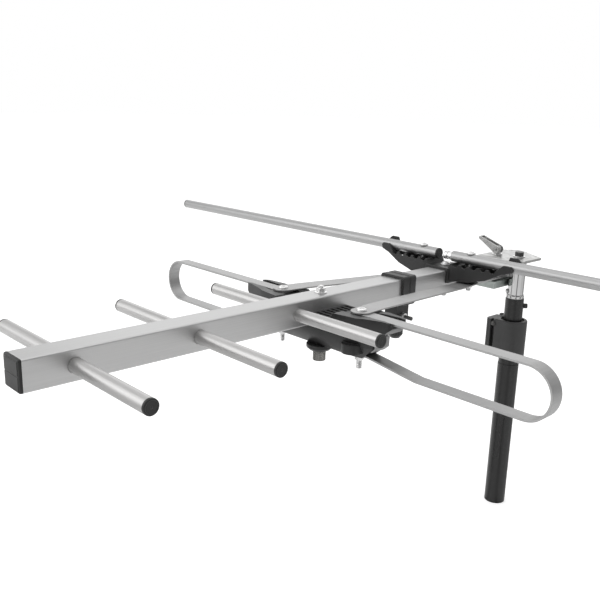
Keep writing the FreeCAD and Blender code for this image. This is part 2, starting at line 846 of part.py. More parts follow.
def make_dipole_housing():
    """The upper moulding: a ribbed platform each side of the boom and a walled wing outside it.

    Two posts under it stand on the dipole's strip, round the terminal bolts. A shorter one takes
    the head of the bolt that goes up through the boom.
    """
    body = new_body("dipole_housing")
    hull = sketch(body, "XZ")
    deck = "loop_top - strip_thickness"
    side = [
        ("boom_side/2 + 3", "-seam_drop"),
        ("housing_half - wing_root", "-seam_drop"),
        ("housing_half - wing_ease", "-wing_rise"),
        ("housing_half", "0.5"),
        ("housing_half - 1", "housing_rim"),
        ("housing_half - wing_ease", "housing_rim + 0.8"),
        ("housing_half - wing_root - 3", "housing_rim"),
        ("housing_half - rim_start", "loop_top - 0.4"),
        ("platform_half + 4", "loop_top - 0.4"),
        ("platform_half", "-platform_drop"),
    ]
    outline(hull, mirrored(side))
    pad(body, hull, "housing_width", centred=True)
    trim = sketch(body, "XY", "-40")
    box_outline(trim, "-housing_half - 20", "-housing_width", "housing_half + 20", "housing_width")
    right = leaf("housing_width", "housing_half", "platform_half", "wing_width")
    left = [("-(" + x + ")", y) for x, y in reversed(right[1:-1])]
    outline(trim, right[1:-1] + left)
    pocket(body, trim, "80", back=True)
    slot = sketch(body, "XZ")
    gap = "(boom_side/2 + fit_gap)"
    box_outline(slot, "-" + gap, UNDER, gap, "boom_side")
    pocket(body, slot, "housing_width + 2", centred=True)
    bed = sketch(body, "XZ")
    box_outline(bed, "platform_half + 3", deck, "housing_half + 5", "housing_rim + 9")
    beds = pocket(body, bed, "wing_width - 2*housing_wall", centred=True)
    mirror(body, [beds], "YZ")
    first_groove = f"-{(GROOVE_COUNT - 1) // 2}*groove_pitch"
    for inner_end, away in (("boom_side/2 + 2.5", True), ("-(boom_side/2 + 2.5)", False)):
        groove = sketch(body, "YZ", inner_end)
        box_outline(
            groove,
            f"{first_groove} - groove_width/2",
            "-platform_drop - groove_depth",
            f"{first_groove} + groove_width/2",
            "platform_drop + 4",
        )
        cut = pocket(body, groove, "platform_half - boom_side/2 - 5", back=away)
        doc.recompute()
        pattern(body, cut, "Y_Axis", "groove_pitch", GROOVE_COUNT)
    for places, length in (
        (TERMINALS, "cover_depth - cover_skin - strip_thickness - fit_gap - seam_drop"),
        (("0",), "post_drop"),
    ):
        posts = sketch(body, "XY", "-seam_drop")
        for x in places:
            round_hole(posts, x, "0", "post_diameter")
        pad(body, posts, length, back=True)
    holes = sketch(body, "XY")
    for x in (*TERMINALS, "0"):
        round_hole(holes, x, "0", HOLE)
    pocket(body, holes, centred=True)
    on_boom(body, "dipole_station")
    node(body, "dipole_housing")


def boat(body, height, width, half, tip):
    """A level section of the cover at a height: widest beside the boom, blunt at both ends."""
    drawing = sketch(body, "XY", height)
    middle = f"(cover_shoulder + {half})/2"
    side = [
        ("cover_shoulder", f"-{width}/2"),
        (middle, f"-({width} + {tip})/4 - cover_bow"),
        (half, f"-{tip}/2"),
        (half, f"{tip}/2"),
        (middle, f"({width} + {tip})/4 + cover_bow"),
        ("cover_shoulder", f"{width}/2"),
    ]
    outline(drawing, mirrored(side))
    return drawing


def loft(body, sections, kind="Additive"):
    """Joins level sections with flat sides, as a solid or as a hollow."""
    feature = body.newObject(f"PartDesign::{kind}Loft", body.Name + "_loft")
    feature.Profile = sections[0]
    feature.Sections = sections[1:]
    feature.Ruled = True
    return feature


def make_dipole_cover():
    """The lower moulding: a boat with raked ends and sides that close to a narrow keel."""
    body = new_body("dipole_cover")
    knee = "-(seam_drop + cover_knee)"
    hull = [
        boat(body, "-seam_drop", "housing_width", "cover_half", "wing_width"),
        boat(body, knee, "cover_knee_width", "cover_half", "wing_width - 2"),
        boat(body, "-cover_depth", "cover_keel", "(cover_half - cover_rake)", "cover_keel - 4"),
    ]
    loft(body, hull)
    ear = sketch(body, "XY", "-seam_drop - ear_drop")
    outline(
        ear,
        [
            ("ear_x - ear_radius", "-ear_y/2"),
            ("ear_x - ear_radius", "-ear_y", "y", "-ear_y", True),
            ("ear_x + ear_radius", "-ear_y"),
            ("ear_x + ear_radius", "-ear_y/2"),
        ],
    )
    ears = pad(body, ear, "ear_height", back=True)
    mirror(body, [ears], "YZ")
    wall = "2*housing_wall"
    floor = "-cover_depth + 2*cover_skin"
    hollow = [
        boat(body, "-seam_drop", f"(housing_width - {wall})", f"(cover_half - {wall})", f"(wing_width - {wall})"),
        boat(body, knee, f"(cover_knee_width - {wall})", f"(cover_half - {wall})", f"(wing_width - 2 - {wall})"),
        boat(body, floor, "cover_keel", f"(cover_half - cover_rake - {wall})", "(cover_keel - 4)"),
    ]
    loft(body, hollow, "Subtractive")
    holes = sketch(body, "XY")
    for x in TERMINALS:
        round_hole(holes, x, "0", HOLE)
    pocket(body, holes, centred=True)
    slot = sketch(body, "YZ")
    bed = "-cover_depth + cover_skin"
    side = "strip_width/2 + fit_gap"
    box_outline(slot, "-(" + side + ")", bed, side, f"{bed} + strip_thickness + fit_gap")
    pocket(body, slot, centred=True)
    on_boom(body, "dipole_station")
    node(body, "dipole_cover")


def make_cover_ends():
    """Pale plugs that close the raked ends of the cover, under the wings."""
    ends = []
    slope = "(cover_depth - seam_drop - cover_knee)/cover_rake"
    knee = "-seam_drop - cover_knee"
    for side, angle in (("left", 180), ("right", 0)):
        body = new_body("cover_end_" + side)
        drawing = sketch(body, "XZ")
        outline(
            drawing,
            [
                ("cover_half + fit_gap", "-seam_drop + end_rise"),
                ("cover_half + fit_gap", knee),
                ("cover_half + fit_gap - end_tuck", f"{knee} - end_tuck*{slope}"),
                ("cover_half + fit_gap - end_tuck + end_thickness", f"{knee} - end_tuck*{slope}"),
                ("cover_half + end_thickness", knee),
                ("cover_half + end_thickness", "-seam_drop + end_rise"),
            ],
        )
        pad(body, drawing, "wing_width - 6", centred=True)
        ends.append(on_boom(body, "dipole_station", angle=angle))
    group("cover_ends", ends)


def make_housing_inside():
    """The matching board round the middle post, with its two-hole core below."""
    board = new_body("balun_board")
    drawing = sketch(board, "XY", "-seam_drop - board_drop")
    box_outline(drawing, "-board_length/2", "-board_width/2", "board_length/2", "board_width/2")
    round_hole(drawing, "0", "0", "post_diameter + 4*fit_gap")
    pad(board, drawing, "board_thickness")
    node(on_boom(board, "dipole_station"), "balun_board")
    core = new_body("balun_core")
    drawing = sketch(core, "XY", "-seam_drop - board_drop")
    half = "core_length/2"
    box_outline(drawing, f"-core_x - {half}", "-" + half, f"-core_x + {half}", half)
    for y in ("-core_bore", "core_bore"):
        round_hole(drawing, "-core_x", y, "core_bore")
    pad(core, drawing, "core_height", back=True)
    node(on_boom(core, "dipole_station"), "balun_core")


def make_coax_socket():
    """The socket and its pin in a round collar under the keel."""
    x, y = "socket_x", "dipole_station - socket_y"
    foot = "-cover_depth - collar_height"
    bore = "socket_neck/2 + fit_gap"
    collar = turned(
        "coax_collar",
        [
            (bore, "0"),
            ("collar_foot/2", "0"),
            ("collar_diameter/2", "collar_height - collar_straight"),
            ("collar_diameter/2", "collar_height"),
            (bore, "collar_height"),
        ],
    )
    node(on_boom(collar, y, x, foot), "coax_collar")
    socket = turned(
        "coax_socket",
        [
            ("socket_bore/2", "-socket_length"),
            ("socket_diameter/2 - socket_ease", "-socket_length"),
            ("socket_diameter/2", "-socket_length + socket_ease"),
            ("socket_diameter/2", "0"),
            ("socket_neck/2", "0"),
            ("socket_neck/2", "collar_height - fit_gap"),
            ("socket_bore/2", "collar_height - fit_gap"),
        ],
    )
    node(on_boom(socket, y, x, foot), "coax_socket")
    pin = turned(
        "coax_pin",
        [
            ("0", "-socket_length + pin_depth"),
            ("socket_bore/2 - fit_gap", "-socket_length + pin_depth"),
            ("socket_bore/2 - fit_gap", "collar_height - fit_gap"),
            ("0", "collar_height - fit_gap"),
        ],
    )
    node(on_boom(pin, y, x, foot), "coax_pin")


def make_phasing_strap(side, turned_over):
    """A flat strip from the dipole's end to the VHF rod: its bent side view crossed with its plan."""
    span = "(vhf_station - dipole_station)"
    high = "loop_top + strap_thickness"
    low = STRAP_TOP_REAR
    bent = new_body(f"strap_side_{side}")
    drawing = sketch(bent, "YZ")
    start = "-strap_width"
    outline(
        drawing,
        [
            (start, f"{high} - strap_thickness"),
            ("strap_flat", f"{high} - strap_thickness"),
            (f"{span} - strap_flat", f"{low} - strap_thickness"),
            (f"{span} + strap_width", f"{low} - strap_thickness"),
            (f"{span} + strap_width", low),
            (f"{span} - strap_flat", low),
            ("strap_flat", high),
            (start, high),
        ],
    )
    pad(bent, drawing, "200", centred=True)
    plan = new_body(f"strap_plan_{side}")
    drawing = sketch(plan, "XY", "-20")
    half = "strap_width/2"
    outline(
        drawing,
        [
            (f"terminal_offset - {half}", "0", "y", "0", True),
            (f"terminal_offset + {half}", "0"),
            (f"vhf_bolt_offset + {half}", span, "y", span, True),
            (f"vhf_bolt_offset - {half}", span),
        ],
    )
    round_hole(drawing, "terminal_offset", "0", HOLE)
    round_hole(drawing, "vhf_bolt_offset", span, HOLE)
    pad(plan, drawing, "60")
    strap = doc.addObject("Part::Common", "strap_blank_" + side)
    strap.Base = bent
    strap.Tool = plan
    if turned_over:
        image = doc.addObject("Part::Mirroring", "strap_mirror_" + side)
        image.Source = strap
        image.Normal = FreeCAD.Vector(1, 0, 0)
        strap = image
    node(on_boom(strap, "dipole_station"), "phasing_strap_" + side)


def make_dipole_fasteners():
    bolts = []
    nuts = []
    washers = []
    top = "loop_top + strap_thickness"
    seat = "-cover_depth - washer_thickness"
    for side, x in (("left", "-terminal_offset"), ("right", "terminal_offset")):
        length = f"{top} - ({seat}) + nut_height + terminal_proud"
        bolts.append(on_boom(bolt("terminal_bolt_" + side, length), "dipole_station", x, top))
        piece = ring("terminal_washer_" + side, HOLE, "terminal_washer", "washer_thickness")
        washers.append(on_boom(piece, "dipole_station", x, seat))
        piece = nut("terminal_nut_" + side, HOLE, "nut_across", "nut_height")
        nuts.append(on_boom(piece, "dipole_station", x, f"{seat} - nut_height"))
    group("terminal_bolts", bolts)
    group("terminal_nuts", nuts)
    group("terminal_washers", washers)
    washer = ring("housing_washer", HOLE, "washer_diameter", "washer_thickness")
    node(on_boom(washer, "dipole_station", z="boom_side/2"), "housing_washer")
    piece = nut("housing_nut", HOLE, "nut_across", "nut_height")
    node(on_boom(piece, "dipole_station", z="boom_side/2 + washer_thickness"), "housing_nut")
    head = "(seam_drop + post_drop)"
    length = f"{head} + boom_side/2 + washer_thickness + nut_height + bolt_proud/2"
    middle = bolt("housing_bolt", length)
    node(on_boom(middle, "dipole_station", z=f"-({head})", axis=(1, 0, 0), angle=180), "housing_bolt")


# The boom clip: a ribbed band round the boom, with a lug, a cross screw and a knob below.


def make_boom_clip():
    body = new_body("boom_clip")
    band = sketch(body, "XZ")
    half = "(boom_side/2 + fit_gap + clip_wall)"
    box_outline(band, "-" + half, "-" + half, half, half)
    pad(body, band, "clip_length", centred=True)
    soften(body, "clip_wall*0.9", lambda edge: runs_along(edge, 1))
    waist = sketch(body, "XZ")
    box_outline(waist, "-" + half, "-" + half, half, half)
    inner = f"({half} - clip_waist_depth)"
    box_outline(waist, "-" + inner, "-" + inner, inner, inner)
    pocket(body, waist, "clip_waist", centred=True)
    lug = sketch(body, "XZ")
    outline(
        lug,
        [
            ("-clip_lug/2", "-clip_drop + clip_lug_ease"),
            ("-clip_lug/2 + clip_lug_ease", "-clip_drop"),
            ("clip_lug/2 - clip_lug_ease", "-clip_drop"),
            ("clip_lug/2", "-clip_drop + clip_lug_ease"),
            ("clip_lug/2", "-boom_side/2 - clip_wall/3"),
            ("-clip_lug/2", "-boom_side/2 - clip_wall/3"),
        ],
    )
    pad(body, lug, "clip_length", centred=True)
    inside = sketch(body, "XZ")
    gap = "(boom_side/2 + fit_gap)"
    box_outline(inside, "-" + gap, "-" + gap, gap, gap)
    pocket(body, inside, "clip_length + 2", centred=True)
    cross = sketch(body, "YZ")
    round_hole(cross, "0", "-clip_screw_drop", "clip_screw_diameter + 2*fit_gap")
    pocket(body, cross, centred=True)
    on_boom(body, "clip_station")
    node(body, "boom_clip")
    screw = turned(
        "clip_screw",
        [
            ("-screw_seat - screw_head", "0"),
            ("screw_tail", "0"),
            ("screw_tail", "clip_screw_diameter/2 - spigot_ease"),
            ("screw_tail - 1", "clip_screw_diameter/2"),
            ("-screw_seat", "clip_screw_diameter/2"),
            ("-screw_seat", "screw_head_diameter/2"),
            ("-screw_seat - screw_head + 1", "screw_head_diameter/2"),
            ("-screw_seat - screw_head", "screw_head_diameter/2 - 1"),
        ],
        "H_Axis",
    )
    node(on_boom(screw, "clip_station", z="-clip_screw_drop"), "clip_screw")
    barrel = turned(
        "clip_barrel",
        [
            ("barrel_start", "clip_screw_diameter/2 + fit_gap"),
            ("barrel_start + barrel_length", "clip_screw_diameter/2 + fit_gap"),
            ("barrel_start + barrel_length", "screw_head_diameter/2 - spigot_ease"),
            ("barrel_start + barrel_length - spigot_ease", "screw_head_diameter/2"),
            ("barrel_start", "screw_head_diameter/2"),
        ],
        "H_Axis",
    )
    node(on_boom(barrel, "clip_station", z="-clip_screw_drop"), "clip_barrel")
    knob = turned(
        "clip_knob",
        [
            ("0", "-knob_height"),
            ("knob_diameter/2 - knob_ease", "-knob_height"),
            ("knob_diameter/2", "-knob_height + knob_ease + 1"),
            ("knob_diameter/2", "-knob_ease"),
            ("knob_neck", "0"),
            ("0", "0"),
        ],
    )
    flute = sketch(knob, "XY", "-knob_height - 1")
    round_hole(flute, "knob_diameter/2 + flute_offset", "0", "flute_diameter")
    cut = pocket(knob, flute, "knob_height - 1", back=True)
    doc.recompute()
    flutes = knob.newObject("PartDesign::PolarPattern", "clip_knob_flutes")
    flutes.Originals = [cut]
    flutes.Axis = (next(i for i in knob.Origin.OriginFeatures if i.Role == "Z_Axis"), [""])
    flutes.Angle = 360
    flutes.Occurrences = FLUTE_COUNT
    knob.Tip = flutes
    node(on_boom(knob, "clip_station", z="-clip_drop"), "clip_knob")


# The mast head: a plate above the boom and a saddle under it, drawn together by a cam lever.


def make_mast_head():
    plate = new_body("head_plate")
    drawing = sketch(plate, "XY", "boom_side/2")
    reach = "-(" + BOOM_X + ") + plate_beyond"
    outline(
        drawing,
        [
            ("-boom_side/2", "-plate_front"),
            (f"{reach} - plate_ease", "-plate_front"),
            (reach, "-plate_front + plate_ease"),
            (reach, "plate_front"),
            ("boom_side/4", "plate_rear + plate_lip"),
            ("-plate_lip", "plate_rear + plate_lip"),
            ("-boom_side/2", "plate_rear - plate_ease - plate_lip"),
        ],
    )
    round_hole(drawing, "0", "0", "head_bolt_diameter + 2*fit_gap")
    round_hole(drawing, "-(" + BOOM_X + ")", "boom_reach - head_station", "head_bolt_diameter + 2*fit_gap")
    beside_x, beside_y = f"-({BOOM_X}) + stud_x", "boom_reach - head_station + stud_y"
    round_hole(drawing, beside_x, beside_y, "stud_diameter + 2*fit_gap")
    pad(plate, drawing, "plate_thickness")
    node(on_boom(plate, "head_station"), "head_plate")
    saddle = new_body("head_saddle")
    web = sketch(saddle, "XY", UNDER)
    half = "(boom_side/2 + saddle_wall)"
    outline(
        web,
        [
            ("-" + half, "-skirt_front"),
            (half, "-skirt_front"),
            (half, "skirt_rear - saddle_corner"),
            (f"{half} - saddle_corner - 1", "skirt_rear"),
            (f"-{half} + saddle_corner + 1", "skirt_rear"),
            ("-" + half, "skirt_rear - saddle_corner"),
        ],
    )
    pad(saddle, web, "skirt_depth", back=True)
    inside = sketch(saddle, "XY", f"{UNDER} - saddle_wall + pressing_radius")
    core = "(boom_side/2 + pressing_radius)"
    outline(
        inside,
        [
            ("-" + core, "-skirt_front + saddle_wall - pressing_radius"),
            (core, "-skirt_front + saddle_wall - pressing_radius"),
            (core, "skirt_rear - saddle_corner - 1"),
            (f"{core} - saddle_corner", "skirt_rear - saddle_wall + pressing_radius"),
            (f"-{core} + saddle_corner", "skirt_rear - saddle_wall + pressing_radius"),
            ("-" + core, "skirt_rear - saddle_corner - 1"),
        ],
    )
    pocket(saddle, inside, "skirt_depth")
    hole = sketch(saddle, "XY")
    round_hole(hole, "0", "0", "head_bolt_diameter + 2*fit_gap")
    pocket(saddle, hole, centred=True)
    node(on_boom(saddle, "head_station"), "head_saddle")
    web_foot = f"({UNDER} - saddle_wall + pressing_radius)"
    piece = nut("head_nut", "head_bolt_diameter + 2*fit_gap", "mast_bolt_across", "nut_height")
    node(on_boom(piece, "head_station", z=f"{web_foot} - nut_height"), "head_nut")
    washer = ring("head_washer", "head_bolt_diameter + 2*fit_gap", "washer_diameter", "washer_thickness")
    node(on_boom(washer, "head_station", z="boom_side/2 + plate_thickness"), "head_washer")
    make_eye_bolt(web_foot)
    make_head_lever()
    make_mast_fasteners()


def make_eye_bolt(web_foot):
    shank = new_body("head_bolt")
    drawing = sketch(shank, "XY", f"{web_foot} - nut_height - bolt_proud*0.5")
    round_hole(drawing, "0", "0", "head_bolt_diameter")
    pad(shank, drawing, f"{CAM_Z} - ({web_foot}) + nut_height + bolt_proud*0.5")
    eye = sketch(shank, "XZ")
    round_hole(eye, "0", CAM_Z, "cam_diameter - 1.6")
    pad(shank, eye, "eye_thickness", centred=True)
    flats = sketch(shank, "XZ", "eye_thickness/2")
    foot = "boom_side/2 + plate_thickness + washer_thickness"
    box_outline(flats, "-5", foot, "5", f"{CAM_Z} + 8")
    sides = pocket(shank, flats, "3", back=True)
    mirror(shank, [sides], "XZ")
    hole = sketch(shank, "XZ")
    round_hole(hole, "0", CAM_Z, "cam_pin_diameter + 2*fit_gap")
    pocket(shank, hole, centred=True)
    node(on_boom(shank, "head_station"), "head_bolt")


def make_head_lever():
    """A pressed channel lever whose two round cheeks are the cams. Its origin is the pin."""
    lever = new_body("head_lever")
    side = sketch(lever, "XZ")
    radius = "cam_diameter/2"
    outline(
        side,
        [
            ("0", f"-{radius}", "x", "0", True),
            ("0", radius),
            ("-lever_length", "lever_tip"),
            ("-lever_length", "lever_tip_foot"),
            ("-lever_length + lever_bend", "0"),
            ("-lever_throat", f"-{radius} + 2"),
        ],
    )
    pad(lever, side, "lever_width", centred=True)
    trough = sketch(lever, "XZ")
    outline(
        trough,
        [
            (f"{radius} + 2", f"-{radius} - 2"),
            (f"{radius} + 2", f"{radius} + 2"),
            ("-lever_length + lever_wall", f"{radius} + 2"),
            ("-lever_length + lever_wall", "lever_tip_foot + lever_wall"),
            ("-lever_length + lever_bend + 1", "lever_wall"),
            ("-lever_throat + 0.5", "-1"),
            ("-lever_throat + 1.8", f"-{radius} - 2"),
        ],
    )
    pocket(lever, trough, "lever_width - 2*lever_wall", centred=True)
    hole = sketch(lever, "XZ")
    round_hole(hole, "0", "0", "cam_pin_diameter + 2*fit_gap")
    pocket(lever, hole, centred=True)
    on_boom(lever, "head_station", z=CAM_Z, axis=(0, 1, 0), angle=number("lever_angle"))
    node(lever, "head_lever")
    pin = turned(
        "head_lever_pin",
        [
            ("0", "-lever_width/2 - pin_proud"),
            ("cam_pin_diameter/2 - pin_ease", "-lever_width/2 - pin_proud"),
            ("cam_pin_diameter/2", "-lever_width/2 - pin_proud + pin_ease"),
            ("cam_pin_diameter/2", "lever_width/2 + pin_proud - pin_ease"),
            ("cam_pin_diameter/2 - pin_ease", "lever_width/2 + pin_proud"),
            ("0", "lever_width/2 + pin_proud"),
        ],
    )
    node(on_boom(pin, "head_station", z=CAM_Z, axis=(1, 0, 0), angle=90), "head_lever_pin")


def make_mast_fasteners():
    top = f"{STUB_TOP} + plate_thickness"
    washer = ring("mast_washer", "head_bolt_diameter + 2*fit_gap", "washer_diameter + 2", "washer_thickness")
    node(put(washer, z=top), "mast_washer")
    head = doc.addObject("Part::Prism", "mast_bolt_head")
    head.Polygon = 6
    head.setExpression("Circumradius", bound("mast_bolt_across/1.7320508"))
    head.setExpression("Height", bound("mast_bolt_height"))
    shank = doc.addObject("Part::Cylinder", "mast_bolt_shank")
    shank.setExpression("Radius", bound("head_bolt_diameter/2"))
    shank.setExpression("Height", bound("plate_thickness + washer_thickness + plug_length*0.7"))
    shank.setExpression("Placement.Base.z", bound("-(plate_thickness + washer_thickness + plug_length*0.7)"))
    whole = doc.addObject("Part::Fuse", "mast_bolt")
    whole.Base = head
    whole.Tool = shank
    node(put(whole, z=f"{top} + washer_thickness"), "mast_bolt")
    stud = turned(
        "head_stud",
        [
            ("0", "-plate_thickness - washer_thickness"),
            ("stud_head/2", "-plate_thickness - washer_thickness"),
            ("stud_head/2", "-plate_thickness"),
            ("stud_diameter/2", "-plate_thickness"),
            ("stud_diameter/2", "stud_proud - spigot_ease"),
            ("stud_diameter/2 - spigot_ease", "stud_proud"),
            ("0", "stud_proud"),
        ],
    )
    node(put(stud, "stud_x", "stud_y", top), "head_stud")


# The mast: a chromed tube in a black tube, which slides in the lower tube through a flip-lock clamp.


def make_mast():
    stub = ring("mast_stub", "stub_diameter - 2*stub_wall", "stub_diameter", "stub_exposed + stub_insert")
    side = sketch(stub, "YZ", "0")
    round_hole(side, "0", "stub_insert + button_drop", "2*button_radius + 2*fit_gap")
    pocket(stub, side, "stub_diameter", back=True)
    angle = number("pin_angle")
    node(put(stub, z=f"{STUB_FOOT} - stub_insert", angle=180 + angle), "mast_stub")
    plug = turned(
        "mast_plug",
        [
            ("head_bolt_diameter/2 + fit_gap", "-plug_length"),
            ("stub_diameter/2 - stub_wall - fit_gap", "-plug_length"),
            ("stub_diameter/2 - stub_wall - fit_gap", "0"),
            ("head_bolt_diameter/2 + fit_gap", "0"),
        ],
    )
    node(put(plug, z=STUB_TOP), "mast_plug")
    collar = new_body("mast_ring")
    drawing = sketch(collar, "XY")
    round_hole(drawing, "0", "0", "stub_diameter + 2*fit_gap + 2*ring_wall")
    round_hole(drawing, "0", "0", "stub_diameter + 2*fit_gap")
    pad(collar, drawing, "ring_height")
    node(put(collar, z=STUB_FOOT), "mast_ring")
    inside = "stub_diameter/2 - stub_wall"
    button = turned(
        "snap_button",
        [
            (f"{inside} - button_radius", "0"),
            ("stub_diameter/2 + button_proud", "0"),
            ("stub_diameter/2 + button_proud*3/4", "button_radius*2/3"),
            ("stub_diameter/2 + button_proud/4", "button_radius"),
            (f"{inside} - 1.2", "button_radius"),
            (f"{inside} - 1.2", "button_radius + button_flange"),
            (f"{inside} - button_radius", "button_radius + button_flange"),
        ],
        "H_Axis",
    )
    node(put(button, z=f"{STUB_FOOT} + button_drop", angle=180 + angle), "snap_button")
    upper = ring("upper_tube", "stub_diameter + 2*fit_gap", "upper_diameter", "upper_length")
    side = sketch(upper, "YZ")
    round_hole(side, "0", "upper_length - screw_drop", "2*thumb_neck + 2*fit_gap")
    pocket(upper, side, "upper_diameter", back=True)
    node(put(upper, z=f"{STUB_FOOT} - upper_length", angle=angle), "upper_tube")
    screw = turned(
        "thumb_screw",
        [
            ("stub_diameter/2 + fit_gap", "0"),
            ("upper_diameter/2 + thumb_proud", "0"),
            ("upper_diameter/2 + thumb_proud", "thumb_radius - spigot_ease"),
            ("upper_diameter/2 + thumb_proud - spigot_ease", "thumb_radius"),
            ("upper_diameter/2 + slide_gap", "thumb_radius"),
            ("upper_diameter/2 + slide_gap", "thumb_neck"),
            ("stub_diameter/2 + fit_gap", "thumb_neck"),
        ],
        "H_Axis",
    )
    node(put(screw, z=f"{STUB_FOOT} - screw_drop", angle=angle), "thumb_screw")
    bore = "upper_diameter/2 + slide_gap"
    seat = "clamp_base - seat_below"
    lower = turned(
        "lower_tube",
        [
            (bore, "0"),
            ("lower_diameter/2", "0"),
            ("lower_diameter/2", seat),
            ("lower_diameter/2 - seat_groove", seat),
            ("lower_diameter/2 - seat_groove", f"{seat} + seat_groove_width"),
            ("lower_diameter/2 - seat_turning", f"{seat} + seat_groove_width"),
            ("lower_diameter/2 - seat_turning", "lower_length"),
            (bore, "lower_length"),
        ],
    )
    node(lower, "lower_tube")


def make_clamp():
    body = new_body("clamp_body")
    drawing = sketch(body, "XY")
    outline(
        drawing,
        [
            ("-clamp_ear", "-clamp_half + clamp_corner"),
            ("-clamp_ear + clamp_corner", "-clamp_half"),
            ("0", "-clamp_radius", "x", "0", True),
            ("0", "clamp_radius"),
            ("-clamp_ear + clamp_corner", "clamp_half"),
            ("-clamp_ear", "clamp_half - clamp_corner"),
        ],
    )
    pad(body, drawing, "clamp_height")
    top = number("clamp_height")
    soften(body, "clamp_foot_ease", lambda edge: edge.BoundBox.ZMax < 0.01, "Chamfer")
    soften(body, "clamp_top_ease", lambda edge: edge.BoundBox.ZMin > top - 0.01, "Chamfer")
    lug = sketch(body, "XY")
    pin_x = "-(clamp_ear + fit_gap + knuckle_radius + 0.2)"
    pin_y = "clamp_half - knuckle_radius - 1.5"
    outline(
        lug,
        [
            ("-clamp_ear + 1", f"{pin_y} - knuckle_radius"),
            ("-clamp_ear + 1", f"{pin_y} + knuckle_radius"),
            (pin_x, f"{pin_y} + knuckle_radius", "x", pin_x, True),
            (pin_x, f"{pin_y} - knuckle_radius"),
        ],
    )
    pad(body, lug, "clamp_height")
    notch = sketch(body, "XY", "lug_height")
    box_outline(notch, "-clamp_ear - 12", "-clamp_half - 1", "-clamp_ear", "clamp_half + 1")
    pocket(body, notch, "clamp_height - 2*lug_height", back=True)
    bore = sketch(body, "XY")
    round_hole(bore, "0", "0", "lower_diameter - 2*seat_turning + 2*fit_gap")
    pocket(body, bore, "lower_length - clamp_base", back=True)
    throat = sketch(body, "XY")
    round_hole(throat, "0", "0", "upper_diameter + 2*slide_gap")
    pocket(body, throat, back=True)
    mouth = sketch(body, "XY", "clamp_height")
    round_hole(mouth, "0", "0", "upper_diameter + 2*slide_gap + mouth_width")
    pocket(body, mouth, "mouth_depth")
    split = sketch(body, "XY")
    box_outline(split, "-clamp_ear - 10", "-clamp_slot/2", "-upper_diameter/2 + 2", "clamp_slot/2")
    pocket(body, split, "clamp_height + 1", back=True)
    finger = sketch(body, "XZ", "clamp_half")
    box_outline(finger, "-clamp_ear", "clamp_height*0.36", "-clamp_ear + finger_width", "clamp_height*0.76")
    pocket(body, finger, "finger_depth")
    pin_hole = sketch(body, "XY")
    round_hole(pin_hole, pin_x, pin_y, "clamp_pin_diameter + 2*fit_gap")
    pocket(body, pin_hole, back=True)
    screw_hole = sketch(body, "XZ")
    screw_x = "-clamp_ear + clamp_screw_inset"
    round_hole(screw_hole, screw_x, "clamp_height*0.88", "clamp_screw_diameter + 2*fit_gap")
    pocket(body, screw_hole, centred=True)
    put(body, z="clamp_base")
    node(body, "clamp_body")
    pin = new_body("clamp_pin")
    drawing = sketch(pin, "XY", "1")
    round_hole(drawing, pin_x, pin_y, "clamp_pin_diameter")
    pad(pin, drawing, "clamp_height - 2")
    node(put(pin, z="clamp_base"), "clamp_pin")
    make_clamp_lever(pin_x, pin_y)
    screw = turned(
        "clamp_screw",
        [
            ("0", "-clamp_half - 3*spigot_ease"),
            ("clamp_screw_head/2 - pin_ease", "-clamp_half - 3*spigot_ease"),
            ("clamp_screw_head/2", "-clamp_half - 2*spigot_ease"),
            ("clamp_screw_head/2", "-clamp_half"),
            ("clamp_screw_diameter/2", "-clamp_half"),
            ("clamp_screw_diameter/2", "clamp_half - 2*spigot_ease"),
            ("clamp_screw_diameter/2 - pin_ease", "clamp_half - spigot_ease"),
            ("0", "clamp_half - spigot_ease"),
        ],
    )
    put(screw, screw_x, "0", "clamp_base + clamp_height*0.88", axis=(1, 0, 0), angle=-90)
    node(screw, "clamp_screw")


def make_clamp_lever(pin_x, pin_y):
    """The flip lever: a plate over the ears' ends, with a knuckle between the two lugs."""
    lever = new_body("clamp_lever")
    plate = sketch(lever, "XY")
    face = "-(clamp_ear + slide_gap)"
    outer = f"{face} - clamp_lever_thickness"
    root = f"{pin_y} - knuckle_radius - 1.2"
    outline(
        plate,
        [
            (face, "-clamp_half"),
            (face, root),
            (f"{outer} + 1.5", root),
            (outer, f"{root} - 1.5"),
            (outer, "-clamp_half + 4"),
            (f"{outer} + 3", "-clamp_half"),
        ],
    )
    pad(lever, plate, "clamp_height - 2")
    knuckle = sketch(lever, "XY", "lug_height - 1 + slide_gap")
    outline(
        knuckle,
        [
            (f"{pin_x} + knuckle_radius - 0.2", f"{root} - 2"),
            (f"{pin_x} + knuckle_radius - 0.2", pin_y, "y", pin_y, True),
            (f"{pin_x} - knuckle_radius + 0.2", pin_y),
            (f"{pin_x} - knuckle_radius + 0.2", f"{root} - 2"),
        ],
    )
    pad(lever, knuckle, "clamp_height - 2*lug_height - 2*slide_gap")
    hole = sketch(lever, "XY")
    round_hole(hole, pin_x, pin_y, "clamp_pin_diameter + 2*fit_gap")
    pocket(lever, hole, back=True)
    node(put(lever, z="clamp_base + 1"), "clamp_lever")


def make_all():
    make_boom()
    make_boom_cap("boom_front_cap", "0", 0)
    make_boom_cap("boom_rear_cap", "boom_length", 180)
    make_directors()
    make_vhf_rods()
    make_vhf_tray()
    make_vhf_fasteners()
    make_folded_dipole()
    make_dipole_housing()
    make_dipole_cover()
    make_cover_ends()
    make_housing_inside()
    make_coax_socket()
    make_phasing_strap("left", True)
    make_phasing_strap("right", False)
    make_dipole_fasteners()
    make_boom_clip()
    make_mast_head()
    make_mast()
    make_clamp()


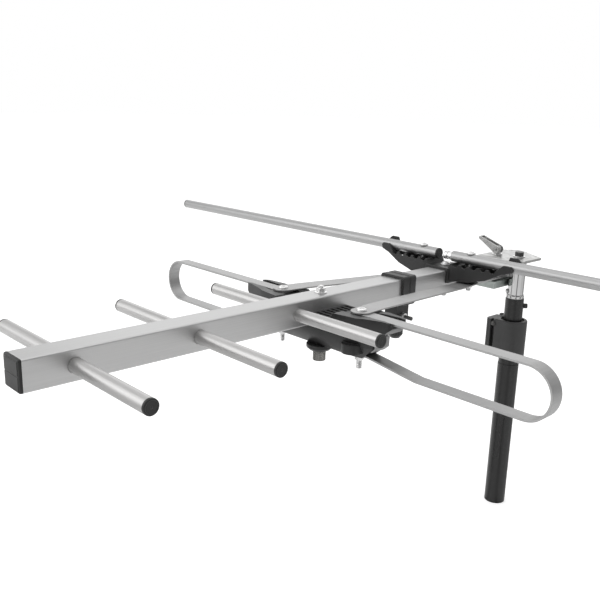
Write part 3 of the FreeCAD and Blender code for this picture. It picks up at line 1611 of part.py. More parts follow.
def check():
    """Stops before anything is written if an object failed or a sub-part has no sound shape."""
    doc.recompute()
    for item in doc.Objects:
        if {"Invalid", "Error"} & set(item.State):
            raise RuntimeError(f"{item.Name}: {item.State} {item.getStatusString()}")
    for piece in NODES:
        if piece.Shape.isNull() or not piece.Shape.isValid() or not piece.Shape.Solids:
            raise RuntimeError(f"{piece.Label}: no sound shape")


def write_parts():
    os.makedirs("parts", exist_ok=True)
    for piece in NODES:
        piece.Shape.exportStep(f"parts/{piece.Label}.step")
        size = piece.Shape.BoundBox
        print(
            f"{piece.Label:22s} solids {len(piece.Shape.Solids)} volume {piece.Shape.Volume / 1000:8.2f} cm3 "
            f"x {size.XMin:7.1f} {size.XMax:7.1f} y {size.YMin:7.1f} {size.YMax:7.1f} z {size.ZMin:7.1f} {size.ZMax:7.1f}"
        )


make_all()
check()
write_parts()
print(len(NODES), "sub-parts")
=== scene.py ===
# %% [markdown]
# A small television aerial stands on a telescoping mast. A square aluminium boom carries three short
# rods in front, a long flat loop on a black housing in the middle, and two long rods in a black tray
# near the back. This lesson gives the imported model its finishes, softens its mouldings, makes its
# screws real, and lights it as a catalogue picture does.

import json
import math

import bmesh
import bpy
from mathutils import Matrix, Vector


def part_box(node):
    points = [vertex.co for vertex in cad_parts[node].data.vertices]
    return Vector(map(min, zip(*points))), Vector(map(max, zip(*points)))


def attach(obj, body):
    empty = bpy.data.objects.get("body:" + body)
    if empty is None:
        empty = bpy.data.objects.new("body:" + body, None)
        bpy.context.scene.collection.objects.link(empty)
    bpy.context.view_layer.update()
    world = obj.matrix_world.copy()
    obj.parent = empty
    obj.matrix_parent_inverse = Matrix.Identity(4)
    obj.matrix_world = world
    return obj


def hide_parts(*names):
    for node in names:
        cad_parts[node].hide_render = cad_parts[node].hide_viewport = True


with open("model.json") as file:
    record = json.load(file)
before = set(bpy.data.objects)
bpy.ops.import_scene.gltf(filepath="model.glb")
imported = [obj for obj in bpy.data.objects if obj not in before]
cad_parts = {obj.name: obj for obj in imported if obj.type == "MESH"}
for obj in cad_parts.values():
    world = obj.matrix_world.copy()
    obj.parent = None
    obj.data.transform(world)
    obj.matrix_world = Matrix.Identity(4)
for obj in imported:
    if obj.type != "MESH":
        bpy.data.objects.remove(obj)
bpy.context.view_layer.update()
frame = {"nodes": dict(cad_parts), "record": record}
nodes = frame["nodes"]
MM = 0.001

# %% [markdown]
# The camera comes first. The photograph was taken from the front right, a little above the boom, with
# a lens a bit longer than normal. Its place, its turn and its small roll were worked out from the
# boom's edges and the rods' ends, so the camera is built from three directions: right, up and back.

# %% Camera
VIEW_TURN = math.radians(46.515)
VIEW_HEIGHT = math.radians(14.61)
VIEW_ROLL = math.radians(1.69)
VIEW_PLACE = Vector((468.2, -802.9, 491.6)) * MM
level_right = Vector((math.cos(VIEW_TURN), math.sin(VIEW_TURN), 0))
towards_viewer = Vector((
    math.sin(VIEW_TURN) * math.cos(VIEW_HEIGHT),
    -math.cos(VIEW_TURN) * math.cos(VIEW_HEIGHT),
    math.sin(VIEW_HEIGHT),
))
level_up = towards_viewer.cross(level_right)
view_right = level_right * math.cos(VIEW_ROLL) + level_up * math.sin(VIEW_ROLL)
view_up = level_up * math.cos(VIEW_ROLL) - level_right * math.sin(VIEW_ROLL)

camera_data = bpy.data.cameras.new("camera")
camera_data.lens = 45.5
camera_data.sensor_width = 36
camera_data.clip_end = 50
camera = bpy.data.objects.new("camera", camera_data)
bpy.context.scene.collection.objects.link(camera)
camera.matrix_world = Matrix.Translation(VIEW_PLACE) @ Matrix((
    (view_right.x, view_up.x, towards_viewer.x),
    (view_right.y, view_up.y, towards_viewer.y),
    (view_right.z, view_up.z, towards_viewer.z),
)).to_4x4()
bpy.context.scene.camera = camera
print("camera at", tuple(round(value, 3) for value in VIEW_PLACE))

# %% [markdown]
# A finish is a small tree of nodes round one Principled shader. The helpers below each add one step
# of such a tree: a noise pattern laid out on the object's own coordinates, a ramp that turns it into
# shades, a range that turns it into roughness, and a bump that turns it into relief. A Bevel node
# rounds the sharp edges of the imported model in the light, and the same node finds those edges, so
# that a moulding can be paler where it is rubbed.

# %% Helpers for finishes
class Tree:
    """The shader nodes of a material or of the world."""

    def __init__(self, owner):
        owner.use_nodes = True
        self.tree = owner.node_tree

    def join(self, source, target):
        """Feeds an input from a socket, or sets it to a plain value or colour."""
        if isinstance(source, bpy.types.NodeSocket):
            self.tree.links.new(source, target)
        elif isinstance(source, tuple) and len(target.default_value) == 4:
            target.default_value = (*source, 1)
        else:
            target.default_value = source

    def add(self, kind, **sources):
        node = self.tree.nodes.new(kind)
        for name, source in sources.items():
            self.join(source, node.inputs[name])
        return node

    def work(self, operation, *sources, kind="ShaderNodeMath"):
        """A math node on sockets or plain values."""
        node = self.add(kind)
        node.operation = operation
        for target, source in zip(node.inputs, sources):
            self.join(source, target)
        return node.outputs["Value"]

    def shades(self, factor, *stops):
        """Turns a pattern into colours: each stop is a position and a colour."""
        ramp = self.add("ShaderNodeValToRGB", Fac=factor)
        points = ramp.color_ramp.elements
        while len(points) < len(stops):
            points.new(0.5)
        for point, (position, colour) in zip(points, stops):
            point.position = position
            point.color = (*colour, 1)
        return ramp.outputs["Color"]

    def mix(self, factor, first, second):
        """Blends two colours, each a socket or a plain colour."""
        node = self.add("ShaderNodeMix")
        node.data_type = "RGBA"
        for place, source in ((0, factor), (6, first), (7, second)):
            self.join(source, node.inputs[place])
        return node.outputs[2]


class Look(Tree):
    """One finish: its material, its shader, and the last normal that its bumps gave."""

    def __init__(self, name, metallic, roughness):
        self.material = bpy.data.materials.new(name)
        super().__init__(self.material)
        self.shader = self.tree.nodes["Principled BSDF"]
        self.join(metallic, self.shader.inputs["Metallic"])
        self.join(roughness, self.shader.inputs["Roughness"])
        self.place = self.add("ShaderNodeTexCoord").outputs["Object"]
        self.normal = None

    def noise(self, scale, stretch=(1, 1, 1), detail=2.0):
        """A cloudy pattern, with scale features to the metre, pressed together along the axes."""
        layout = self.add("ShaderNodeMapping", Vector=self.place, Scale=stretch)
        pattern = self.add("ShaderNodeTexNoise", Vector=layout.outputs["Vector"], Scale=scale,
                           Detail=detail)
        return pattern.outputs["Fac"]

    def cells(self, scale, feature="F1"):
        """Crystals or tracks, with scale cells to the metre."""
        pattern = self.add("ShaderNodeTexVoronoi", Vector=self.place, Scale=scale)
        pattern.feature = feature
        return pattern

    def tones(self, pattern, dark, light):
        """Spreads the middle of a pattern from a dark to a light colour."""
        return self.shades(pattern, (0.3, dark), (0.7, light))

    def blend(self, share, first, second):
        """Mixes two patterns, each given with its dark and its light colour."""
        return self.mix(share, self.tones(*first), self.tones(*second))

    def range(self, factor, low, high, start=0.3, end=0.7):
        """Turns the middle of a pattern into a number between low and high."""
        node = self.add("ShaderNodeMapRange", **{
            "Value": factor, "From Min": start, "From Max": end, "To Min": low, "To Max": high,
        })
        return node.outputs["Result"]

    def relief(self, height, depth, strength):
        """Adds a bump of the given depth in millimetres on top of the earlier ones."""
        node = self.add("ShaderNodeBump", Height=height, Strength=strength, Distance=depth * MM)
        if self.normal is not None:
            self.join(self.normal, node.inputs["Normal"])
        self.normal = node.outputs["Normal"]

    def eased(self, radius):
        """Rounds sharp edges in the light, by a radius in millimetres."""
        node = self.add("ShaderNodeBevel", Radius=radius * MM)
        node.samples = 4
        self.normal = node.outputs["Normal"]
        return self.normal

    def edges(self, rounded):
        """A mask that is 1 on edges: there the rounded normal leaves the true one."""
        true = self.add("ShaderNodeNewGeometry").outputs["Normal"]
        agreement = self.work("DOT_PRODUCT", rounded, true, kind="ShaderNodeVectorMath")
        return self.range(agreement, 1.0, 0.0, 0.86, 0.985)

    def done(self, colour, roughness=None):
        for name, source in (("Base Color", colour), ("Roughness", roughness), ("Normal", self.normal)):
            if source is not None:
                self.join(source, self.shader.inputs[name])
        return self.material


def grey(level, warm=0.0):
    return (level + warm, level, level - warm)


print("helpers for finishes are ready")

# %% [markdown]
# The boom is a square aluminium extrusion with a satin anodised skin. The die leaves fine lines along
# it, so the noise is stretched along Y, and handling leaves faint clouds. Real anodising is a clear
# Real anodising is a clear hard layer on bright metal: it is metallic, with a soft gloss. Its edges
# are given a painted highlight, a little paler over half a millimetre, where their rounds catch light.

# %% Finish of the boom
def boom_finish():
    look = Look("satin_boom", 0.85, 0.42)
    edges = look.edges(look.eased(0.5))
    die_lines = look.noise(1.0, stretch=(1500, 9, 1500), detail=3.0)
    clouds = look.noise(22.0, stretch=(1, 0.35, 1), detail=4.0)
    tone = look.blend(0.55, (die_lines, grey(0.49), grey(0.57)), (clouds, grey(0.49), grey(0.59, 0.003)))
    look.relief(die_lines, 0.02, 0.25)
    # The edge mask lays a painted highlight, grey 0.92, on the rounded edges.
    return look.done(look.mix(edges, tone, grey(0.92)), look.range(clouds, 0.38, 0.48))


# %% [markdown]
# The rods are drawn tubes, a little brighter than the boom. They lie along X, so their drawing lines
# do too. A thin tube shows one long highlight, and the lines break it up slightly. The two long rods
# lie higher than the short ones, and above that height the tone is darker.

# %% Finish of the rods and of the flat strips
HIGH_RODS = (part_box("director_rod_1")[1][2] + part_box("vhf_rod_left")[0][2]) / 2


def rod_finish():
    look = Look("drawn_rod", 0.85, 0.38)
    drawing_lines = look.noise(1.0, stretch=(7, 2200, 2200), detail=3.0)
    clouds = look.noise(30.0, stretch=(0.3, 1, 1), detail=3.0)
    short_rods = look.blend(0.5, (drawing_lines, grey(0.46, 0.004), grey(0.56, 0.005)),
                            (clouds, grey(0.47, 0.004), grey(0.57, 0.006)))
    long_rods = look.blend(0.5, (drawing_lines, grey(0.35), grey(0.45)), (clouds, grey(0.36), grey(0.46)))
    height = look.add("ShaderNodeSeparateXYZ", Vector=look.place).outputs["Z"]
    # Above this height the rods take the darker tone.
    higher_share = look.range(height, 0.0, 1.0, HIGH_RODS - 1 * MM, HIGH_RODS + 1 * MM)
    look.relief(drawing_lines, 0.02, 0.3)
    return look.done(look.mix(higher_share, short_rods, long_rods), look.range(clouds, 0.32, 0.44))


def strip_finish():
    look = Look("rolled_strip", 0.85, 0.44)
    look.eased(0.3)
    rolling_lines = look.noise(1.0, stretch=(12, 60, 1800), detail=3.0)
    clouds = look.noise(28.0, detail=4.0)
    tone = look.blend(0.5, (rolling_lines, grey(0.37), grey(0.45)), (clouds, grey(0.38), grey(0.47, 0.003)))
    look.relief(rolling_lines, 0.02, 0.25)
    return look.done(tone, look.range(clouds, 0.40, 0.52))


def turned_finish():
    look = Look("bright_turned", 1.0, 0.16)
    look.eased(0.3)
    tool_marks = look.noise(1.0, stretch=(2600, 30, 30))
    look.relief(tool_marks, 0.02, 0.4)
    return look.done(look.tones(tool_marks, grey(0.74), grey(0.84)), look.range(tool_marks, 0.12, 0.22))


# %% [markdown]
# The mouldings are black plastic from a spark-eroded tool: dull, with a very fine pebble grain, and
# paler along their edges, where the grain is rubbed. One recipe serves them all, with its own tone,
# grain and gloss for each family of mouldings.

# %% Finishes of the mouldings
def moulded_finish(name, tone, rubbed, grain, gloss):
    look = Look(name, 0.0, gloss)
    look.join(0.36, look.shader.inputs["Specular IOR Level"])
    mask = look.edges(look.eased(0.45))
    pebbles = look.noise(grain)
    flow = look.noise(45.0, detail=5.0)
    scuffs = look.noise(160.0, stretch=(1, 0.4, 1), detail=6.0)
    body = look.shades(flow, (0.25, grey(tone * 0.86)), (0.75, grey(tone * 1.16)))
    worn = look.work("MULTIPLY", mask, look.range(scuffs, 0.25, 1.0, 0.35, 0.6))
    look.relief(pebbles, 0.06, 0.35)
    look.relief(flow, 0.10, 0.10)
    return look.done(look.mix(worn, body, grey(rubbed)), look.range(flow, gloss - 0.06, gloss + 0.08))


# %% [markdown]
# Small steel parts are plated. Bright zinc is pale and slightly milky. The galvanised bracket shows
# spangle, the flat crystals that the molten zinc leaves. The saddle has a passivated coat with a faint
# green tinge. The screws of the mast and of the boom's clip are blackened, and the mast's top is
# chromed.

# %% Finishes of the plated steel
def zinc_finish():
    look = Look("bright_zinc", 0.8, 0.26)
    look.eased(0.2)
    milk = look.noise(260.0, detail=4.0)
    look.relief(look.noise(2600.0), 0.015, 0.3)
    return look.done(look.tones(milk, grey(0.78, 0.004), grey(0.90)), look.range(milk, 0.22, 0.38))


def spangle_finish(name, low, high, tint, gloss):
    look = Look(name, 1.0, gloss)
    look.eased(0.4)
    crystals = look.cells(210.0)
    shade, sheen, _ = look.add("ShaderNodeSeparateColor", Color=crystals.outputs["Color"]).outputs
    clouds = look.noise(60.0, detail=5.0)
    dark = tuple(low * part for part in tint)
    light = tuple(high * part for part in tint)
    facets = look.shades(shade, (0.0, dark), (1.0, light))
    look.relief(look.noise(1500.0, detail=3.0), 0.02, 0.3)
    return look.done(look.mix(0.6, facets, look.tones(clouds, dark, light)),
                     look.range(sheen, gloss - 0.08, gloss + 0.1, 0, 1))


def dark_steel_finish():
    look = Look("blackened_steel", 0.75, 0.4)
    mask = look.edges(look.eased(0.25))
    oil = look.noise(300.0, detail=4.0)
    look.relief(oil, 0.02, 0.25)
    return look.done(look.mix(mask, look.tones(oil, grey(0.055), grey(0.10, 0.003)), grey(0.3)),
                     look.range(oil, 0.3, 0.48))


def chrome_finish():
    look = Look("bright_chrome", 1.0, 0.07)
    look.eased(0.3)
    haze = look.noise(120.0, stretch=(1, 1, 0.3), detail=4.0)
    polish = look.noise(1.0, stretch=(900, 900, 14))
    look.relief(polish, 0.01, 0.12)
    return look.done(look.tones(haze, grey(0.45), grey(0.53)), look.range(haze, 0.04, 0.11))


# %% [markdown]
# The mast tubes are powder coated in satin black. Powder flows into a very slight orange peel, and
# dust leaves tiny pale specks. The coat over a tube this thin looks almost plain from afar, so the
# relief is kept shallow.

# %% Finishes of the mast and of the inside parts
def powder_finish():
    look = Look("black_powder", 0.0, 0.32)
    look.join(0.4, look.shader.inputs["Specular IOR Level"])
    mask = look.edges(look.eased(0.3))
    clouds = look.noise(40.0, stretch=(1, 1, 0.3), detail=4.0)
    dust = look.range(look.noise(2100.0, detail=1.0), 0.0, 1.0, 0.70, 0.76)
    rubbed = look.work("MULTIPLY", mask, look.range(clouds, 0.2, 0.9))
    body = look.mix(rubbed, look.tones(clouds, grey(0.010), grey(0.017)), grey(0.10))
    look.relief(look.noise(900.0, detail=3.0), 0.05, 0.35)
    return look.done(look.mix(dust, body, grey(0.22)), look.range(clouds, 0.24, 0.36))


def brass_finish():
    look = Look("plated_brass", 1.0, 0.25)
    tarnish = look.noise(500.0, detail=4.0)
    look.relief(tarnish, 0.01, 0.2)
    return look.done(look.tones(tarnish, (0.62, 0.47, 0.22), (0.78, 0.63, 0.34)),
                     look.range(tarnish, 0.2, 0.4))


def board_finish():
    look = Look("green_laminate", 0.0, 0.3)
    weave = look.noise(1.0, stretch=(2200, 400, 1))
    tracks = look.cells(190.0, "DISTANCE_TO_EDGE")
    copper = look.range(tracks.outputs["Distance"], 1.0, 0.0, 0.02, 0.05)
    look.relief(copper, 0.05, 0.5)
    green = look.tones(weave, (0.025, 0.13, 0.06), (0.04, 0.19, 0.09))
    return look.done(look.mix(copper, green, (0.06, 0.26, 0.12)))


def ferrite_finish():
    look = Look("sintered_ferrite", 0.1, 0.55)
    grit = look.noise(1300.0, detail=5.0)
    look.relief(grit, 0.08, 0.5)
    return look.done(look.tones(grit, grey(0.035), grey(0.085)), look.range(grit, 0.45, 0.65))


# %% Make every finish once
finishes = {
    "boom_aluminium": boom_finish(),
    "rod_aluminium": rod_finish(),
    "strip_aluminium": strip_finish(),
    "bright_aluminium": turned_finish(),
    "black_plastic": moulded_finish("cap_plastic", 0.023, 0.13, 1900.0, 0.42),
    "housing_plastic": moulded_finish("housing_plastic", 0.027, 0.16, 2300.0, 0.36),
    "clip_plastic": moulded_finish("clip_plastic", 0.040, 0.15, 1700.0, 0.40),
    "clamp_plastic": moulded_finish("clamp_plastic", 0.055, 0.20, 1500.0, 0.46),
    "plug_plastic": moulded_finish("plug_plastic", 0.085, 0.20, 1500.0, 0.5),
    "knob_black": moulded_finish("knob_plastic", 0.035, 0.14, 1700.0, 0.36),
    "grey_plastic": moulded_finish("pale_plastic", 0.50, 0.62, 1500.0, 0.5),
    "zinc_bright": zinc_finish(),
    "socket_metal": spangle_finish("nickel_socket", 0.15, 0.23, (1.0, 0.985, 0.94), 0.24),
    "pressed_steel": spangle_finish("galvanised_plate", 0.38, 0.54, (1.0, 1.0, 0.985), 0.36),
    "zinc_saddle": spangle_finish("passivated_zinc", 0.36, 0.50, (0.95, 1.03, 0.99), 0.4),
    "dark_steel": dark_steel_finish(),
    "chrome": chrome_finish(),
    "mast_black": powder_finish(),
    "pin_brass": brass_finish(),
    "board_green": board_finish(),
    "ferrite": ferrite_finish(),
}
print("finishes", len(finishes))

# %% [markdown]
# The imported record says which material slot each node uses. The node objects came in with one plain
# material a slot, named after it, so each is exchanged for the finish of that name.

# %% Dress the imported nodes
node_slots = {part["node"]: part["material_slot"] for part in frame["record"]["subparts"]}
node_bodies = {}
for body_name, members in frame["record"]["behaviour"]["bodies"].items():
    for member in members:
        node_bodies[member] = body_name
for node_name, piece in nodes.items():
    for holder in piece.material_slots:
        holder.material = finishes[node_slots[node_name]]
print("dressed nodes", len(nodes))

# %% [markdown]
# New pieces are made as by hand: a primitive is added at its size, then its faces and edges are
# picked by their place and pushed, inset, bevelled or bridged. These helpers keep each step short.
# They clear the selection first, because an operator acts on everything that is selected.

# %% Helpers for modelling
UPRIGHT = Matrix.Identity(4)
TO_RIGHT = Matrix.Rotation(math.pi / 2, 4, "Y")
HAIR = 0.01 * MM


def start_piece(name, operator, **settings):
    bpy.ops.object.select_all(action="DESELECT")
    operator(**settings)
    piece = bpy.context.active_object
    piece.name = name
    piece.data.name = name
    bpy.ops.object.mode_set(mode="EDIT")
    bpy.ops.mesh.select_all(action="DESELECT")
    return piece


def start_cylinder(name, vertices, z=0, **settings):
    """An upright cylinder with its middle at a height in metres."""
    settings.setdefault("location", (0, 0, z))
    return start_piece(name, bpy.ops.mesh.primitive_cylinder_add, vertices=vertices, **settings)


def pick(piece, kind, test):
    """Selects only the corners, edges or faces that pass a test."""
    bpy.ops.mesh.select_mode(type=kind)
    bpy.ops.mesh.select_all(action="DESELECT")
    shape = bmesh.from_edit_mesh(piece.data)
    for item in {"VERT": shape.verts, "EDGE": shape.edges, "FACE": shape.faces}[kind]:
        item.select = test(item)
    if kind == "VERT":
        shape.select_flush_mode()
    bmesh.update_edit_mesh(piece.data)


def inset(width, depth=0.0, each=False):
    """Insets the picked faces, in millimetres, all together or each by itself."""
    bpy.ops.mesh.inset(thickness=width * MM, depth=depth * MM, use_individual=each)


def bevel(width, segments):
    bpy.ops.mesh.bevel(offset=width * MM, segments=segments)


def extrude(x, y, z):
    bpy.ops.mesh.extrude_region_move(TRANSFORM_OT_translate={"value": (x, y, z)})


def middle(item):
    """The middle of an edge or a face, in its own piece's coordinates."""
    total = Vector()
    for corner in item.verts:
        total += corner.co
    return total / len(item.verts)


def make_active(piece):
    bpy.ops.object.select_all(action="DESELECT")
    piece.select_set(True)
    bpy.context.view_layer.objects.active = piece


def end_editing(piece):
    bpy.ops.object.mode_set(mode="OBJECT")
    make_active(piece)
    bpy.ops.object.transform_apply(location=True, rotation=True, scale=True)
    return piece


def use_modifier(piece, kind, **settings):
    make_active(piece)
    modifier = piece.modifiers.new(kind.lower(), kind)
    for name, value in settings.items():
        setattr(modifier, name, value)
    bpy.ops.object.modifier_apply(modifier=modifier.name)


def smooth(piece, degrees=35):
    make_active(piece)
    bpy.ops.object.shade_smooth_by_angle(angle=math.radians(degrees))


def copy_to(piece, name, place, turn=UPRIGHT):
    """A copy with its own mesh, turned about its origin and then moved to a place in metres."""
    copy = piece.copy()
    copy.data = piece.data.copy()
    copy.name = name
    copy.data.name = name
    bpy.context.scene.collection.objects.link(copy)
    copy.data.transform(Matrix.Translation(place) @ turn)
    return copy


def join_pieces(name, pieces):
    bpy.ops.object.select_all(action="DESELECT")
    for piece in pieces:
        piece.select_set(True)
    bpy.context.view_layer.objects.active = pieces[0]
    bpy.ops.object.join()
    whole = bpy.context.active_object
    whole.name = name
    whole.data.name = name
    return whole


def discard(piece):
    bpy.data.objects.remove(piece, do_unlink=True)


def combine(piece, operation, tool):
    """A Boolean with a second piece, which is used up by it."""
    use_modifier(piece, "BOOLEAN", operation=operation, object=tool)
    discard(tool)


def centre_of(low, high):
    return tuple((low[axis] + high[axis]) / 2 for axis in range(3))


def box_of(node_name):
    return tuple(Vector(corner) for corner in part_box(node_name))


def finish_piece(piece, body, slot, *replaced):
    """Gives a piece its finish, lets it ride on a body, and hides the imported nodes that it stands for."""
    piece.data.materials.clear()
    piece.data.materials.append(finishes[slot])
    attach(piece, body)
    if replaced:
        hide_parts(*replaced)
    print(piece.name, "faces", len(piece.data.polygons))


def solids_of(node_name):
    """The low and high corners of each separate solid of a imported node, from left to right."""
    shape = bmesh.new()
    shape.from_mesh(nodes[node_name].data)
    bmesh.ops.remove_doubles(shape, verts=shape.verts, dist=0.001 * MM)
    waiting = set(shape.verts)
    found = []
    while waiting:
        group = [waiting.pop()]
        for corner in group:
            for edge in corner.link_edges:
                other = edge.other_vert(corner)
                if other in waiting:
                    waiting.remove(other)
                    group.append(other)
        low = Vector(min(corner.co[axis] for corner in group) for axis in range(3))
        high = Vector(max(corner.co[axis] for corner in group) for axis in range(3))
        found.append((low, high))
    shape.free()
    return sorted(found, key=lambda box: (round(box[0].y, 4), box[0].x))


print("helpers for modelling are ready")

# %% [markdown]
# The small bolts have a domed head with a cross recess. The dome is a short cylinder whose top face is
# pulled up in steps, each one smaller, as a potter closes a bowl. The recess is cut with a cross of
# two tapered bars. All small bolts share this head, so it is modelled once, with its underside at the
# origin.

# %% One domed screw head
HEAD_RADIUS = 4.8 * MM
HEAD_HEIGHT = 2.8 * MM
SHANK_RADIUS = 2.5 * MM
PITCH = 0.8 * MM
LONGEST_THREAD = 11 * MM
INTO_HEAD = 0.2 * MM


def domed_head(name, radius, height):
    head = start_cylinder(name, 40, radius=radius, depth=height * 0.3, z=height * 0.15)
    steps = 6
    shrunk = 1.0
    risen = 0.0
    for step in range(1, steps + 1):
        angle = math.pi / 2 * step / steps * 0.86
        pick(head, "FACE", lambda face: face.normal.z > 0.9)
        rise = height * 0.7 * math.sin(angle) - risen
        extrude(0, 0, rise)
        share = math.cos(angle) / shrunk
        bpy.ops.transform.resize(value=(share, share, 1), center_override=(0, 0, height))
        shrunk *= share
        risen += rise
    return end_editing(head)


def cross_recess(radius, height):
    bars = []
    for turn in (0, 90):
        bar = start_piece("recess_bar", bpy.ops.mesh.primitive_cube_add, size=1,
                          location=(0, 0, height * 0.95), rotation=(0, 0, math.radians(turn)),
                          scale=(radius * 0.95, radius * 0.2, height * 1.1))
        pick(bar, "FACE", lambda face: face.normal.z < -0.9)
        bpy.ops.transform.resize(value=(0.45, 0.6, 1))
        bars.append(end_editing(bar))
    combine(bars[0], "UNION", bars[1])
    return bars[0]


def crossed_head(name, radius, height):
    head = domed_head(name, radius, height)
    combine(head, "DIFFERENCE", cross_recess(radius, height))
    return head


screw_head = crossed_head("screw_head", HEAD_RADIUS, HEAD_HEIGHT)
print("screw head", len(screw_head.data.polygons), "faces")

# %% [markdown]
# A thread is a ridge wound round the shank. Its section is a circle of three corners, stood upright at
# the shank's surface, and a Screw modifier winds it up by one pitch a turn. The ends are cut square
# with a plane.

# %% Threaded shanks
def threaded_shank(name, radius, foot, top, pitch, threaded):
    """A shank from foot to top on the Z axis, with a ridge along the threaded length from its foot."""
    core = start_cylinder(name, 32, radius=radius * 0.9, depth=top - foot, z=(top + foot) / 2)
    pick(core, "EDGE", lambda edge: middle(edge).z < -(top - foot) / 2 + HAIR)
    bpy.ops.mesh.bevel(offset=radius * 0.25, segments=1)
    end_editing(core)
    ridge = start_piece(name + "_ridge", bpy.ops.mesh.primitive_circle_add, vertices=3,
                        radius=pitch * 0.52, location=(radius - pitch * 0.26, 0, foot - pitch),
                        rotation=(math.pi / 2, 0, math.pi))
    end_editing(ridge)
    turns = int(threaded / pitch) + 2
    use_modifier(ridge, "SCREW", axis="Z", steps=16, render_steps=16, screw_offset=pitch,
                 iterations=turns, use_smooth_shade=False)
    bpy.ops.object.mode_set(mode="EDIT")
    for height, above in ((foot + pitch * 0.35, False), (foot + threaded, True)):
        bpy.ops.mesh.select_all(action="SELECT")
        bpy.ops.mesh.bisect(plane_co=(0, 0, height), plane_no=(0, 0, 1), use_fill=True,
                            clear_inner=not above, clear_outer=above)
    bpy.ops.mesh.select_all(action="SELECT")
    bpy.ops.mesh.normals_make_consistent(inside=False)
    if bmesh.from_edit_mesh(ridge.data).calc_volume(signed=True) < 0:
        bpy.ops.mesh.flip_normals()
    bpy.ops.object.mode_set(mode="OBJECT")
    return join_pieces(name, [core, ridge])


# %% Put a head on a shank
def place_bolt(name, low, high, head_down=False):
    """A bolt with a domed head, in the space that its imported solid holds."""
    x, y, _ = centre_of(low, high)
    length = high.z - low.z - HEAD_HEIGHT
    threaded = min(length * 0.6, LONGEST_THREAD)
    shank = threaded_shank(name, SHANK_RADIUS, -length, INTO_HEAD, PITCH, threaded)
    head = copy_to(screw_head, name + "_head", (0, 0, 0))
    bolt = join_pieces(name, [shank, head])
    if head_down:
        bolt.data.transform(Matrix.Rotation(math.pi, 4, "X"))
    seat = low.z + HEAD_HEIGHT if head_down else high.z - HEAD_HEIGHT
    bolt.data.transform(Matrix.Translation((x, y, seat)))
    smooth(bolt, 32)
    return bolt


for node_name, head_down in (("vhf_rod_bolts", False), ("vhf_tray_bolt", False),
                             ("terminal_bolts", False), ("housing_bolt", True)):
    placed = [place_bolt(f"{node_name}_{index}", low, high, head_down)
              for index, (low, high) in enumerate(solids_of(node_name))]
    whole = join_pieces(node_name + "_made", placed)
    finish_piece(whole, "head", "zinc_bright", node_name)
discard(screw_head)

# %% [markdown]
# A nut is a short six-sided bar whose corners are turned off on a lathe, which leaves the curved
# lines on its sides. The same happens here: the six-sided piece is intersected with a disc whose rims
# are bevelled. A washer is a disc whose two faces are inset to the hole, opened and bridged.

# %% Nuts and washers
def hexagon(name, across, height, bore):
    """A nut standing on the origin. With no bore it is a bolt's head, turned off at the top only."""
    block = start_cylinder(name, 6, radius=across / math.sqrt(3), depth=height, z=height / 2,
                           rotation=(0, 0, math.pi / 6))
    end_editing(block)
    disc = start_cylinder("turning", 64, radius=across * 0.575, depth=height, z=height / 2)
    rim = height / 2 - HAIR
    pick(disc, "EDGE", lambda edge: middle(edge).z > rim or (bore > 0 and middle(edge).z < -rim))
    bpy.ops.mesh.bevel(offset=across * 0.09, segments=1)
    end_editing(disc)
    combine(block, "INTERSECT", disc)
    if bore:
        hole = start_cylinder("hole", 32, radius=bore / 2, depth=height * 3, z=height / 2)
        end_editing(hole)
        combine(block, "DIFFERENCE", hole)
    smooth(block, 20)
    return block


def flat_washer(name, outer, bore, thickness):
    disc = start_cylinder(name, 48, radius=outer / 2, depth=thickness, z=thickness / 2)
    pick(disc, "FACE", lambda face: abs(face.normal.z) > 0.9)
    bpy.ops.mesh.inset(thickness=(outer - bore) / 2)
    bpy.ops.mesh.bridge_edge_loops()
    pick(disc, "EDGE", lambda edge: len(edge.link_faces) == 2 and edge.calc_face_angle(0) > 1.0
               and middle(edge).xy.length > outer / 2 - 0.4 * MM)
    bpy.ops.mesh.bevel(offset=thickness * 0.25, segments=2)
    end_editing(disc)
    smooth(disc)
    return disc


def place_copies(pattern, node_name):
    copies = []
    for index, (low, high) in enumerate(solids_of(node_name)):
        x, y, _ = centre_of(low, high)
        copies.append(copy_to(pattern, f"{node_name}_{index}", (x, y, low.z)))
    finish_piece(join_pieces(node_name + "_made", copies), "head", "zinc_bright", node_name)


small_nut = hexagon("small_nut", 8 * MM, 4 * MM, 5.2 * MM)
for node_name in ("vhf_rod_nuts", "vhf_tray_nut", "terminal_nuts", "housing_nut"):
    place_copies(small_nut, node_name)
discard(small_nut)
large_nut = hexagon("large_nut", 10 * MM, 4 * MM, 6.2 * MM)
place_copies(large_nut, "head_nut")
discard(large_nut)
for node_name in ("vhf_tray_washer", "housing_washer", "terminal_washers", "head_washer", "mast_washer"):
    low, high = solids_of(node_name)[0]
    bore = 6.3 * MM if node_name in ("head_washer", "mast_washer") else 5.3 * MM
    washer = flat_washer("washer", high.x - low.x, bore, high.z - low.z)
    place_copies(washer, node_name)
    discard(washer)

# %% [markdown]
# The hollow rods are closed with black plugs. On the real ones the rim is rounded, and the face sits a
# little lower inside it, with a small mark in the middle where the mould was filled. One plug is made
# with its face towards +X and copied to each rod's end.

# %% Plugs of the rods
ROD_RADIUS = 6 * MM
CAP_FACE = 2.4 * MM


def rod_plug(name):
    plug = start_cylinder(name, 48, radius=ROD_RADIUS, depth=CAP_FACE, z=CAP_FACE / 2)
    rim = CAP_FACE / 2 - HAIR
    pick(plug, "EDGE", lambda edge: middle(edge).z > rim)
    bevel(0.75, 3)
    pick(plug, "FACE", lambda face: face.normal.z > 0.99)
    inset(0.5)
    inset(0.25, -0.35)
    inset(3.4)
    inset(0.2, 0.15)
    pick(plug, "FACE", lambda face: face.normal.z < -0.99)
    inset(1.15)
    extrude(0, 0, -8 * MM)
    end_editing(plug)
    smooth(plug, 30)
    return plug


